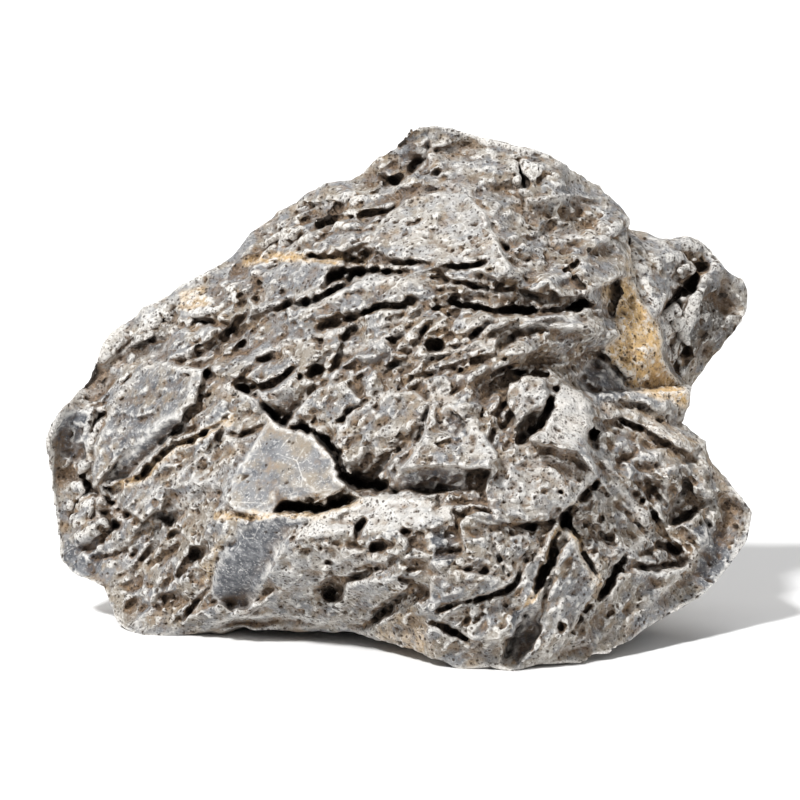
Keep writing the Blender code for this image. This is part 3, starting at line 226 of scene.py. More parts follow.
class Side:
    """One side of the stone: a sheet of heights over the picture, in millimetres outward from the stone."""

    LEFT, TOP, RIGHT, BOTTOM = 352, 348, 792, 694

    def __init__(self, depths, outward):
        self.outward = outward
        across = np.arange(self.LEFT, self.RIGHT, SHEET_STEP)
        down = np.arange(self.TOP, self.BOTTOM, SHEET_STEP)
        self.px, self.py = np.meshgrid(across, down)
        self.base = outward * thin_sheet(depths, self.px, self.py)
        self.height = self.base.copy()
        self.flatness = np.zeros(self.px.shape)
        self.lip = np.zeros(self.px.shape)
        self.tone = np.zeros(self.px.shape)
        self.rough_px, self.rough_py = self.px.copy(), self.py.copy()
        for length, distance, seed in ROUGH_EDGE:
            self.rough_px += distance * picture_noise(self.px, self.py, length, seed)
            self.rough_py += distance * picture_noise(self.px, self.py, length, seed + 1, 1.5)

    def near(self, points, margin):
        """The part of the sheet round some points."""
        xs, ys = [p[0] for p in points], [p[1] for p in points]
        left = max(int((min(xs) - margin - self.LEFT) / SHEET_STEP), 0)
        top = max(int((min(ys) - margin - self.TOP) / SHEET_STEP), 0)
        right = int((max(xs) + margin - self.LEFT) / SHEET_STEP) + 1
        bottom = int((max(ys) + margin - self.TOP) / SHEET_STEP) + 1
        return slice(top, bottom), slice(left, right)

    def read(self, grid, px, py):
        """Values of a grid at places between its points."""
        x = np.clip((px - self.LEFT) / SHEET_STEP, 0, grid.shape[1] - 1.001)
        y = np.clip((py - self.TOP) / SHEET_STEP, 0, grid.shape[0] - 1.001)
        column, row = x.astype(int), y.astype(int)
        x, y = x - column, y - row
        flat, width = grid.ravel(), grid.shape[1]
        corner = row * width + column
        upper = flat[corner] * (1 - x) + flat[corner + 1] * x
        lower = flat[corner + width] * (1 - x) + flat[corner + width + 1] * x
        return upper * (1 - y) + lower * y


print("a sheet's points are", round(SHEET_STEP * PIXEL, 2), "mm apart")

# %% [markdown]
# ## The depths of the front
# These depths were judged from shading and from what covers what: the nose and the fin stand out
# most, the top slopes away, and the left flank and the right flank fall back to the rim.

# %% The front sheet
FRONT_DEPTHS = [
    # the top slope and its two crests
    (560, 388, -4), (590, 372, -8), (622, 378, -6), (652, 386, -4), (684, 402, -6),
    (530, 402, -9), (500, 424, -10), (470, 446, -12), (442, 470, -12), (412, 492, -15),
    (386, 530, -18), (545, 420, 6), (578, 418, 10), (604, 392, 6), (612, 400, 10),
    (622, 412, 15), (630, 428, 21), (640, 444, 26), (652, 394, 2), (676, 394, -1),
    (662, 410, 3), (662, 425, 10), (693, 412, -2), (690, 428, 9), (702, 440, 8),
    (512, 440, 5), (540, 440, 15), (575, 438, 22), (605, 438, 26), (480, 462, 0),
    (502, 462, 8), (530, 456, 17), (562, 446, 22), (640, 456, 30), (662, 460, 29),
    (682, 458, 23), (692, 450, 17),
    # the band under the long crevice
    (603, 468, 33), (628, 471, 35), (652, 473, 35), (676, 472, 31), (690, 476, 24),
    (694, 488, 16), (684, 500, 12), (565, 470, 30), (533, 472, 22), (503, 482, 14),
    (472, 482, 4), (450, 474, -4), (430, 488, -6), (445, 502, 3), (420, 512, -4),
    (402, 540, -9), (430, 530, 7), (458, 514, 13), (482, 505, 19), (512, 502, 27),
    (545, 497, 34), (582, 495, 38), (620, 495, 40), (652, 496, 38), (672, 502, 28),
    # the recess and the stained wall on the right
    (692, 510, 8), (708, 516, 8), (702, 460, -1), (714, 472, 0), (724, 492, 1), (736, 510, 0),
    # the lower left flank
    (386, 560, -20), (384, 600, -22), (396, 575, -12), (404, 600, -8), (410, 640, -4),
    (430, 560, 12), (428, 600, 10), (430, 640, 6), (455, 585, 24), (455, 620, 20),
    (455, 645, 14), (480, 560, 31), (505, 552, 34), (530, 560, 38), (480, 620, 32),
    (480, 640, 30), (500, 600, 44), (505, 640, 36),
    # the blocks and the fin over the nose
    (505, 520, 28), (528, 522, 33), (545, 522, 37), (568, 536, 44), (560, 552, 44),
    (592, 518, 48), (598, 540, 54), (590, 556, 58), (620, 552, 56), (648, 522, 46),
    (672, 530, 42), (640, 545, 50), (660, 558, 54), (674, 568, 50),
    # the nose
    (545, 590, 54), (575, 586, 60), (600, 586, 62), (560, 615, 62), (600, 615, 66),
    (530, 612, 54), (518, 630, 46), (540, 645, 48), (560, 635, 56), (585, 645, 60),
    (600, 660, 58), (625, 580, 62), (625, 615, 65), (630, 645, 64), (612, 672, 54),
    (640, 672, 56), (650, 590, 58), (640, 605, 62),
    # the pitted right flank
    (690, 526, 26), (712, 532, 21), (732, 538, 13), (700, 545, 32), (725, 548, 22),
    (742, 552, 12), (725, 570, 22), (750, 585, 8), (768, 590, 2), (700, 575, 36),
    (690, 592, 40), (715, 600, 30), (740, 605, 18), (762, 610, 6), (690, 618, 46),
    (712, 630, 36), (735, 630, 22), (752, 622, 10), (676, 645, 54), (700, 655, 38),
    (660, 610, 56), (660, 655, 58), (690, 668, 42),
]
front = Side(FRONT_DEPTHS, 1)
print("front sheet of", front.px.shape, "places")

# %% [markdown]
# ## The lobe at the right
# A lobe stands far behind the right flank, with an empty gap before it. No smooth sheet has such a step, so
# the lobe has a sheet of its own inside its own edge.

# %% The lobe
LOBE_EDGE = path(706, 405, 760, 405, 800, 450, 790, 500, 745, 515, 742.5, 514.5, 733, 507, 727, 497, 728, 490,
    725, 482, 720, 469, 712, 459, 709, 448, 706.5, 437, 705.5, 428)
LOBE_DEPTHS = [
    (712, 430, -20), (728, 440, -17), (722, 460, -13), (735, 432, -24), (750, 440, -30), (770, 450, -38),
    (740, 460, -31), (760, 470, -34), (772, 462, -42), (735, 490, -30), (752, 490, -38), (738, 505, -32),
]
lobe = within(front.rough_px, front.rough_py, LOBE_EDGE)
front.height = np.where(lobe, thin_sheet(LOBE_DEPTHS, front.px, front.py), front.height)
front.base = front.height.copy()
print("the lobe takes", round(lobe.mean() * 100, 1), "% of the front sheet")

# %% [markdown]
# ## The depths of the back
# The photograph doesn't show the back. A stone like this is roughly as thick as it is high, so the back is a
# lower and rounder sheet, which gets plates and crevices of its own.

# %% The back sheet
BACK_DEPTHS = [
    (571, 520, -78), (480, 520, -72), (430, 540, -60), (400, 560, -46), (500, 450, -58),
    (450, 480, -50), (545, 415, -50), (590, 395, -48), (640, 400, -54), (680, 430, -66),
    (720, 455, -72), (755, 460, -66), (560, 460, -70), (620, 460, -74), (640, 520, -84),
    (700, 520, -80), (745, 585, -56), (720, 560, -70), (640, 580, -80), (560, 590, -74),
    (480, 600, -66), (430, 620, -50), (690, 610, -66), (620, 640, -64), (540, 645, -60),
    (700, 640, -50), (470, 640, -54),
]
back = Side(BACK_DEPTHS, -1)


def on_both_sides(make, front_rows, back_rows):
    """Does the same to the front and to the back, once for each row of values."""
    for side, rows in ((front, front_rows), (back, back_rows)):
        for row in rows:
            make(side, *row)
    print(len(front_rows), "in front and", len(back_rows), "behind")


print("back sheet of", back.px.shape, "places")

# %% [markdown]
# ## Folds that follow the grain
# Limestone was laid down in beds, and weather follows them. Noise is smeared along the run of the grain, and
# its folded value makes long ridges with sharp crests. Real beds are never parallel for long, so the run
# turns slowly from place to place.

# %% Folds
FRONT_GRAIN = [
    (500, 430, 35), (440, 470, 35), (400, 510, 50), (590, 380, 25), (560, 415, 15), (620, 380, 0),
    (660, 395, -20), (690, 420, -30), (540, 450, 15), (600, 450, 0), (650, 455, 0), (690, 450, 10),
    (450, 490, 25), (500, 490, 25), (560, 490, 30), (620, 485, 35), (670, 485, 20), (430, 530, 45),
    (450, 560, 40), (400, 560, 60), (430, 600, 50), (450, 630, 40), (480, 640, 20), (540, 600, 15),
    (580, 600, 0), (560, 640, 20), (610, 600, -30), (640, 640, 60), (680, 640, 60), (710, 640, 40),
    (700, 540, -35), (730, 560, -35), (750, 590, -50), (710, 590, -45), (690, 510, -40), (720, 470, -60),
    (740, 440, -35), (760, 470, 60), (745, 500, 55), (520, 520, 45), (590, 540, 60), (640, 530, 70),
]
BACK_GRAIN = [
    (400, 560, -40), (480, 460, -30), (600, 400, -10), (700, 440, 20), (740, 560, 50), (600, 560, 10),
    (480, 620, -20),
]
GRAIN_SPREAD = 200          # how softly one run passes into the next, in square pixels
FOLDS = [(26.0, 2.2, 2.6, 41), (13.0, 2.6, 1.5, 43)]     # size in pixels, stretch, height, seed
FOLD_LEVEL = 0.6            # where a fold neither rises nor falls, as a share of its height
GRAIN_STRIDE = 4.0          # pixels between the places that are averaged along the grain
GRAIN_REACH = 60.0


def follow(side, grain):
    """Finds the run of the grain, and for each place the places before and behind it along the grain."""
    along, across = np.zeros(side.px.shape), np.zeros(side.px.shape)
    for x, y, turn in grain:
        weight = 1 / ((side.px - x) ** 2 + (side.py - y) ** 2 + GRAIN_SPREAD)
        along += weight * math.cos(2 * math.radians(turn))
        across += weight * math.sin(2 * math.radians(turn))
    turn = np.arctan2(across, along) / 2
    side.run_x, side.run_y = np.cos(turn), -np.sin(turn)
    side.trail = []
    for way in (GRAIN_STRIDE, -GRAIN_STRIDE):
        px, py = side.px.copy(), side.py.copy()
        run_x, run_y = side.run_x, side.run_y
        for step in range(int(GRAIN_REACH / GRAIN_STRIDE)):
            px, py = px + way * run_x, py + way * run_y
            next_x, next_y = side.read(side.run_x, px, py), side.read(side.run_y, px, py)
            same = np.where(next_x * run_x + next_y * run_y < 0, -1, 1)
            run_x, run_y = next_x * same, next_y * same
            side.trail.append((step, px, py))


def smeared(side, size, stretch, seed):
    """Noise drawn out along the grain, with a spread of one."""
    grid = picture_noise(side.px, side.py, size, seed)
    total = grid.copy()
    for step, px, py in side.trail:
        if (step + 1) * GRAIN_STRIDE <= size * stretch:
            total += side.read(grid, px, py)
    return total / total.std()


for side, grain in ((front, FRONT_GRAIN), (back, BACK_GRAIN)):
    follow(side, grain)
    for size, stretch, height, seed in FOLDS:
        side.height += height * (FOLD_LEVEL - np.abs(smeared(side, size, stretch, seed)))
print("folds raise the front by up to", round(float((front.height - front.base).max()), 2), "mm")

# %% [markdown]
# ## Ledges
# Where beds of different hardness come to the surface, the rock stands in ledges: a tread that leans back, a
# lip, and a riser with a shadow under it. The same drawn-out noise is cut into steps. What is left when its
# even slope is taken away is a row of such ledges, which wander along the grain.

# %% Ledges
LEDGES = [(26.0, 2.8, 3.8, 1.4, 51), (13.0, 3.2, 2.2, 1.2, 52)]    # size, stretch, height, steps, seed
RISER = 0.8                 # share of a step that its tread takes
GROOVE = 0.35               # depth of the groove at a riser's foot, as a share of the height
GROOVE_WIDTH = 0.07         # half width of that groove, as a share of a step


def ledges(side, size, stretch, height, steps, seed):
    rise = steps * smeared(side, size, stretch, seed)
    share = rise - np.floor(rise)
    stair = smooth(RISER, 1, share) - share + RISER / 2
    groove = np.exp(-((share - RISER) / GROOVE_WIDTH) ** 2)
    return height * (stair - GROOVE * groove)


for side in (front, back):
    for values in LEDGES:
        side.height += ledges(side, *values)
print("with ledges the front rises up to", round(float((front.height - front.base).max()), 2), "mm")

# %% [markdown]
# ## Shards
# Between the ledges the rock breaks in shards, each with a face of its own tilt. Seeds are scattered over the
# picture, every place belongs to its nearest seed, and the seed's own numbers tilt and lift the face. One
# number more is its tone: some faces are smooth and blue-grey, others crumbly and brown.

# %% Shards
SHARDS = [(28.0, 2.1, 5.0, 31), (14.0, 2.1, 3.0, 32)]       # size in pixels, stretch, height, seed
SHARD_SEARCH = 2            # cells each way in which the nearest seed is sought
SEED_JITTER = 0.45          # how far a seed strays from the middle of its cell
SHARD_LIFT = 0.35           # how much higher or lower a face is than its neighbours
TONE_SHARE = 0.6            # what a face's tone gets from its own shard, and keeps of the coarser one's


def shards(side, size, stretch, height, seed):
    x, y = side.rough_px / size, side.rough_py / size
    corner_x, corner_y = np.floor(x).astype(np.int64), np.floor(y).astype(np.int64)
    nearest = np.full(x.shape, np.inf)
    face, tone = np.zeros(x.shape), np.zeros(x.shape)

    def number(key, which):
        return lattice(key ^ (which * KEY_FACTORS[2]), seed)

    for down, right in np.ndindex(2 * SHARD_SEARCH + 1, 2 * SHARD_SEARCH + 1):
        cell_x, cell_y = corner_x + right - SHARD_SEARCH, corner_y + down - SHARD_SEARCH
        key = (cell_x * KEY_FACTORS[0]) ^ (cell_y * KEY_FACTORS[1])
        gap_x = cell_x + 0.5 + SEED_JITTER * number(key, 1) - x
        gap_y = cell_y + 0.5 + SEED_JITTER * number(key, 2) - y
        along = gap_x * side.run_x + gap_y * side.run_y
        square = gap_x ** 2 + gap_y ** 2 - (1 - 1 / stretch ** 2) * along ** 2
        closer = square < nearest
        nearest[closer] = square[closer]
        key = key[closer]
        tilt = number(key, 3) * gap_x[closer] + number(key, 4) * gap_y[closer]
        face[closer] = tilt + SHARD_LIFT * number(key, 5)
        tone[closer] = number(key, 6)
    side.tone = TONE_SHARE * side.tone + TONE_SHARE * tone
    return height * face


for side in (front, back):
    for values in SHARDS:
        side.height += shards(side, *values)
print("with shards the front rises up to", round(float((front.height - front.base).max()), 2), "mm")

# %% [markdown]
# ## Plates
# Seiryu stone breaks in flat plates. A plate fits a plane to the sheet inside its outline, takes most of the
# unevenness out of it and ends in a small cliff. Its rim is worn down a little, and how flat it is decides
# later how many pits it has.

# %% What a plate is
PLATE_MARGIN = 4            # pixels round a plate's outline that its wandering edge may reach
EDGE_SOFTNESS = 0.35        # half width of a plate's broken edge, in millimetres
WORN_WIDTH = 1.0            # how far the wear reaches in from that edge
WORN_DEPTH = 0.35
PLATE_FOLDS = 0.6           # share of the folds that a plate keeps where it isn't flat
PLATE_TILT = 1.3
PLATE_FIT = 0.35            # how much a plate's plane follows the folds
# The pale line along a plate's edge is partly rubbed calcite and partly a painted highlight.
LIP_WIDTH = 0.6             # width of the pale line along a plate's edge
STAINED_WALL = path(700, 450, 705.4, 448.8, 711.7, 454.2, 713.3, 458.3, 718.3, 467.5, 723.3, 475,
    728.3, 486.7, 726.7, 491.7, 729.2, 499.2, 733.3, 505.8, 740, 512.5, 744, 520, 742, 526, 730, 521,
    718, 516, 708, 514, 699, 502, 692.5, 490, 701, 483, 698.3, 470, 700.8, 462.5)
FRESH_FACE = path(477, 598, 486.6, 593.5, 503, 590, 521, 590.6, 509, 598, 503, 605, 499, 616, 492, 629,
    484, 644, 474, 645.5, 465.5, 641, 460, 634, 463, 623, 469, 610)
LENS_FACET = path(408.6, 554, 427.7, 535, 447, 527, 443, 537, 427, 552, 412, 567, 401, 569)
SMALL_LENS = path(452, 540, 461, 527, 472, 519, 480, 523, 473, 532, 461, 541)

# %% Plates of the left and of the slab
FRONT_PLATES = [
    # left tip: a grey wall that looks down, and the hollow behind the pale rim
    (path(366, 546, 372, 534, 379, 527, 392, 525, 390, 540, 388, 557, 378, 559,
      370, 552), 0.85, 1, 0.1, -0.2),
    (path(388, 508, 402, 496, 416, 488, 425, 484, 438, 483, 432, 493, 419, 497, 408, 503, 398, 514,
      388, 519), 0.6, -4, 0.1, 0.3),
    (path(429, 475, 441, 468, 453, 471, 461, 477, 452, 482, 440, 479), 0.7, -3, 0, -0.4),
    (path(412, 470, 436, 461, 456, 450, 474, 440, 470, 452, 450, 462, 430, 470, 405, 487,
      396, 494), 0.6, 1, 0.15, 0.2),
    # left: the pale lens with its steep lower facet, and the small lens beside it
    (path(421, 500.6, 431.5, 498, 445, 501.6, 458, 502.5, 451, 522.6, 441, 529, 431.5, 533, 422, 541,
      408.6, 554, 393, 571, 391, 561, 395, 546.5, 401, 531, 407, 515), 0.86, 3.5, 0.1, 0.1),
    (LENS_FACET, 0.9, -1, -0.5, -0.8),
    (SMALL_LENS, 0.9, 1, -0.1, -0.2),
    (path(410, 584, 417, 574, 436, 570, 452, 558, 472, 543, 480, 556, 468, 562, 450, 569, 436, 583,
      420, 592), 0.7, 2, 0, 0.3),
    (path(437, 571, 460, 567, 470, 571, 455, 578, 446, 586, 438, 596, 430, 590), 0.8, -2, 0, -0.6),
    (path(459, 574, 470, 578, 476, 590, 464, 606, 452, 604, 440, 598, 446, 588), 0.6, 1, 0.1, 0.2),
    # the flat slab over the crevice
    (path(465, 515, 479, 517, 491, 525, 498, 533, 507, 538, 522, 540, 531, 547, 534.5, 558, 538, 567,
      542, 572, 535, 577, 522, 577, 509, 581, 498, 586, 487, 590, 474, 586, 467, 578, 470, 566, 476, 552,
      468, 540, 474, 530), 0.6, 1.5, 0.05, 0.1),
    (path(479, 557, 489, 541, 496, 533, 507, 538, 522, 540, 531, 547, 534.5, 558, 538, 567, 542, 572,
      535, 577, 522, 577, 509, 581, 498, 586, 487, 590, 475, 586, 469, 578, 473, 567), 0.97, 1.5, 0.0, 0.0),
    # blocks right of the crevice
    (path(495, 524, 503, 518, 516, 508, 521, 510, 516, 521, 508, 531, 503, 534,
      498, 529), 0.8, 0, -0.2, -0.5),
    (path(508.6, 531, 514, 521, 530, 512, 541, 511, 549, 521, 540, 529, 530, 538,
      520, 538), 0.8, 2, 0.1, -0.2),
    (path(534, 547, 541, 531, 558, 519, 579, 515, 590, 522, 584, 532, 574, 538, 562, 540, 548, 556, 540, 559,
      533, 549), 0.85, 4, 0.05, 0.2),
    (path(548, 556, 562, 540, 574, 538, 584, 532, 588, 536, 580, 545, 568, 556, 556, 568, 547, 567,
      540, 559), 0.8, 0, -0.5, -0.9),
]
print(len(FRONT_PLATES), "plates so far")

# %% Plates of the nose, the fin and the horn
FRONT_PLATES += [
    # the dark fresh face
    (FRESH_FACE, 0.97, -2.0, -0.15, -0.2),
    (path(477, 598, 469, 610, 463, 623, 460, 634, 453, 632, 454, 622, 462, 608, 470, 599), 0.6, -1, 0, -0.2),
    # the nose: its bright top, its front, and the dark strip under it
    (path(521, 589, 540, 585, 552, 578, 572, 577, 596, 579, 606, 590, 590, 597, 566, 597, 545, 600, 525, 603,
      510, 603), 0.6, 1, 0, 0.3),
    (path(502, 606, 520, 604, 546, 609, 566, 612, 565, 618, 548, 625, 530, 624, 519, 638, 509, 640, 500, 636,
      497, 624), 0.5, 1, 0.05, -0.1),
    (path(540, 628, 556, 626, 577, 628, 574, 634, 560, 642, 546, 651, 530, 652, 519, 645, 527, 641,
      537, 639), 0.7, 2, 0.1, -0.2),
    (path(486, 645, 500, 637, 511, 641, 510, 649, 496, 650, 484, 650), 0.7, -3, 0, -0.7),
    (path(446, 657.5, 474, 650.5, 503, 649.6, 527, 653.5, 540, 654.5, 551, 659, 545, 668, 520, 668,
      455, 668), 0.9, -15, 0, -0.3),
    (path(539, 655, 560, 645, 571, 637, 578, 631, 583, 633, 576, 641, 563, 650, 552, 659), 0.8, -6, 0, -0.3),
    # the stained foot of the nose and the faces beside it
    (path(553, 660, 565, 650, 578, 640, 589, 648, 586, 656, 590, 664, 588, 672, 572, 668), 0.6, -3, 0.1, 0),
    (path(590, 656, 604, 659, 616, 664, 632, 664, 636, 672, 629, 680, 597, 680, 589, 670), 0.6, -1, 0, -0.2),
    # the fin
    (path(590, 509, 601, 517, 611, 528, 621, 541, 631, 552, 628, 561, 612, 561, 573, 561, 583, 549, 588, 536,
      592, 524), 0.6, 5, 0, 0.45),
    (path(573, 561, 590, 560, 612, 562, 611, 574, 598, 574, 564, 574), 0.8, -1, 0, -0.7),
    (path(593, 524, 601, 522, 612, 536, 604, 544, 596, 540), 0.8, -2, 0, -0.3),
    # knob, horn and the block under them
    (path(637, 513, 649, 506, 656, 510, 659.5, 520, 656, 530, 647, 543, 641, 541, 640, 531,
      636, 522), 0.5, 6, 0.05, -0.1),
    (path(647, 528, 657, 527, 650, 539, 644, 544, 642, 538), 0.8, -3, 0, -0.7),
    (path(664, 519, 668, 511.5, 677, 515, 684, 523, 686.5, 532, 682, 540, 684, 551, 689, 566, 678, 556,
      660, 548, 648, 545, 655, 538, 662, 530), 0.8, 8, 0.05, 0.35),
    (path(627, 557, 640, 548, 655, 546, 677, 551, 688, 568, 676, 579, 664, 591, 650, 594, 628, 592,
      622, 574), 0.5, 3, 0, 0.15),
]
print(len(FRONT_PLATES), "plates so far")

# %% Plates of the right, the top and the lobe
FRONT_PLATES += [
    # slabs of the lower right, split by trenches
    (path(627, 599, 640, 596, 656, 600, 654, 608, 647, 614, 640, 628, 632, 617,
      626, 607), 0.8, 1, 0.05, -0.15),
    (path(609, 600, 624, 596, 626, 608, 631, 618, 637, 627, 628, 624, 608, 620), 0.6, 1, 0, 0),
    (path(591, 625, 607, 622, 628, 626, 636, 629, 630, 635, 610, 640, 597, 645, 590, 640), 0.7, 2, 0, -0.15),
    (path(656, 608, 665, 592, 669, 600, 661, 618, 653, 633, 645, 648, 638, 661, 616, 662, 602, 654, 598, 649,
      610, 644, 630, 640, 642, 629), 0.8, 1.5, 0, -0.1),
    (path(674, 600, 682, 616, 689, 630, 680, 646, 668, 664, 657, 675, 650, 677, 655, 658, 659, 640,
      665, 617), 0.85, 3, 0, -0.1),
    (path(681, 590, 700, 607, 698, 618, 689, 629, 683, 615, 678, 600), 0.6, 0, 0, 0.1),
    (path(652, 640, 656, 645, 652, 667, 640, 679, 632, 677, 638, 663, 646, 648), 0.9, -7, 0.4, 0),
    (path(690, 640, 700, 626, 712, 621, 742, 620, 732, 631, 716, 642, 703, 651, 686, 665, 668, 668,
      676, 655), 0.6, 1, 0.1, -0.1),
    (path(668, 668, 686, 665, 703, 652, 712, 656, 700, 670, 690, 678, 655, 678), 0.7, -4, 0, -0.5),
    # the pitted flank: the broken bite, and the faces that fall away to the rim
    (path(729, 594, 735, 578, 741, 567, 748, 577, 757, 583, 744, 591), 0.8, -6, 0.5, 0.2),
    (path(748, 562, 755, 573, 758, 586, 755, 602, 746, 617, 736, 628, 718, 641, 706, 650, 704, 668, 735, 648,
      754, 638, 768, 621, 781, 603, 783, 587, 771, 571, 757, 556), 0.7, -3, -0.5, -0.2),
    (path(690, 521, 703, 520, 722, 527, 736, 536, 752, 547, 744, 552, 722, 540, 703, 532,
      690, 532), 0.6, 2, 0, 0.4),
    # the stained wall and the recess at its foot
    (STAINED_WALL, 0.8, 2, 0.1, 0),
    (path(676, 510, 682.5, 501, 687.5, 497.5, 693, 498, 699, 505, 708, 514, 720, 518, 738, 525, 733, 533,
      716, 524, 700, 521, 687.5, 520), 0.8, 3, 0, 0.1),
    # the ledge over the long crevice, and the wall that drops from its right end
    (path(682, 433, 695, 425, 703, 430, 707, 440, 703, 448, 692, 453, 684, 456,
      676, 447), 0.6, 3.5, -0.1, 0.1),
    (path(684, 456, 693, 453, 702, 448, 700, 460, 698, 474, 693, 470, 688, 463), 0.8, -5, -0.6, 0),
    (path(620, 455, 640, 459, 662, 462, 684, 459, 688, 463, 668, 468, 628, 467, 605, 462), 0.6, -2, 0, -0.5),
    # top: the lit facets and the hollow between the crests
    (path(601, 391, 612, 398, 617, 405, 623, 413, 629, 425, 638, 444, 630, 449, 600, 440, 568, 437, 553, 431,
      562, 414, 582, 400), 0.75, 2.5, 0.05, 0.15),
    (path(612, 397, 634, 388, 640, 393, 648, 405, 643, 420, 640, 436, 631, 425, 624, 412,
      617, 404), 0.6, -2, -0.1, 0.1),
    (path(645, 406, 662, 403, 682, 403, 691, 409, 689, 421, 670, 425, 650, 421), 0.7, -2, 0, -0.5),
    (path(645, 386, 660, 380, 684, 392, 694, 403, 680, 402, 662, 401, 650, 402, 646, 396), 0.5, 1.5, 0, 0.2),
    (path(600, 372, 633, 376, 641, 385, 636, 392, 612, 396, 601, 389, 590, 386, 588, 376), 0.5, 1, 0, 0.15),
    (path(573, 384, 570, 374, 580, 363, 592, 361, 590, 372, 582, 384), 0.6, -1, -0.2, 0),
    (path(509.5, 406, 525, 394, 536, 390, 545, 393, 546, 400, 539, 404, 524, 405), 0.6, 3, 0, 0.2),
    (path(490, 447, 512, 438, 531, 442, 528, 453, 512, 460, 495, 468), 0.7, 2.5, 0, 0.1),
    (path(545, 448, 566, 446, 584, 452, 588, 460, 574, 464, 556, 466, 545, 470, 534, 466,
      530, 460), 0.5, 1.5, 0, 0.1),
    # the lobe: a pale slab in front of its darker flank
    (path(710, 423, 727, 427, 736, 435.5, 737, 443, 731, 454, 723, 472, 720, 469, 712, 459, 709, 448.5,
      707, 437), 0.8, 2, 0, 0.1),
    (path(752, 450, 766, 452, 776, 460, 770, 474, 758, 486, 746, 496, 740, 484, 742, 464), 0.5, 2, -0.2, 0),
]

# %% Plates of the back
BACK_PLATES = [
    (path(380, 560, 420, 500, 470, 470, 480, 540, 440, 600, 400, 620), 0.8, 3, 0.1, 0),
    (path(470, 470, 500, 430, 560, 400, 580, 450, 540, 500, 480, 530), 0.85, 4, 0.05, 0.1),
    (path(560, 400, 610, 378, 650, 384, 680, 410, 650, 460, 590, 450), 0.8, 2, 0, 0.2),
    (path(650, 460, 690, 420, 740, 430, 765, 455, 750, 490, 700, 510, 660, 490), 0.8, 3, -0.1, 0.1),
    (path(580, 450, 650, 462, 662, 500, 620, 540, 560, 540, 542, 500), 0.85, -3, 0, 0.15),
    (path(440, 600, 482, 540, 545, 545, 560, 600, 530, 650, 460, 650), 0.8, 2, 0, -0.15),
    (path(560, 545, 625, 545, 650, 590, 620, 650, 565, 650, 562, 600), 0.9, 5, 0.05, -0.1),
    (path(625, 540, 670, 500, 730, 520, 745, 560, 700, 600, 655, 590), 0.85, 1, -0.1, 0),
    (path(655, 595, 700, 602, 745, 565, 765, 590, 730, 640, 660, 660), 0.8, -2, -0.2, -0.1),
    (path(590, 470, 635, 480, 640, 515, 600, 525), 0.9, 3, 0.1, 0),
]

# %% Break the plates
def break_plate(side, outline, flat, lift, right, down):
    """Breaks one flat facet into the sheet."""
    area = side.near(outline, PLATE_MARGIN)
    px, py = side.rough_px[area], side.rough_py[area]
    inside = within(px, py, outline)
    edge = near_line(px, py, outline + outline[:1])[0] * PIXEL * np.where(inside, 1, -1)
    height, base = side.height[area], side.base[area]
    px, py = side.px[area], side.py[area]
    middle = px[inside].mean(), py[inside].mean()
    frame_of_three = np.column_stack([np.ones(inside.sum()), px[inside] - middle[0], py[inside] - middle[1]])
    known = (base + PLATE_FIT * (height - base))[inside]
    level, slope_x, slope_y = np.linalg.lstsq(frame_of_three, known, rcond=None)[0]
    plane = level + slope_x * (px - middle[0]) + slope_y * (py - middle[1])
    broken = plane + PLATE_FOLDS * (1 - flat) * (height - plane) + lift
    broken += PLATE_TILT * PIXEL * (right * (px - middle[0]) + down * (py - middle[1]))
    broken -= WORN_DEPTH * (1 - smooth(0, WORN_WIDTH, edge))
    share = smooth(-EDGE_SOFTNESS, EDGE_SOFTNESS, edge)
    side.height[area] += share * (broken - height)
    side.flatness[area] += share * (flat - side.flatness[area])
    side.lip[area] *= 1 - share
    side.lip[area] += smooth(LIP_WIDTH, 0, np.abs(edge - LIP_WIDTH / 2)) * flat


on_both_sides(break_plate, FRONT_PLATES, BACK_PLATES)
print("the front is flat by", round(float(front.flatness.mean()), 2))

# %% [markdown]
# ## Chips
# The same two ways of breaking come again at a smaller scale, over everything but the flattest plates.

# %% Chips
SMALL_LEDGES = [(7.0, 3.0, 1.3, 1.0, 53), (4.0, 3.0, 0.7, 1.0, 54)]
CHIPS = [(9.0, 1.8, 1.8, 33), (5.0, 1.7, 1.1, 34)]
UNCHIPPED = (0.82, 0.96)    # flatness over which a plate's chips fade
UNCHIPPED_SHARE = 0.8       # share of the chips that the flattest plates lose

for side in (front, back):
    broken = 1 - UNCHIPPED_SHARE * smooth(*UNCHIPPED, side.flatness)
    for values in SMALL_LEDGES:
        side.height += broken * ledges(side, *values)
    for values in CHIPS:
        side.height += broken * shards(side, *values)
print("with chips the front rises up to", round(float((front.height - front.base).max()), 2), "mm")

# %% [markdown]
# ## Crests
# Some edges stay proud because they are harder. A crest is a line that is raised like a low roof and fades at
# both ends.

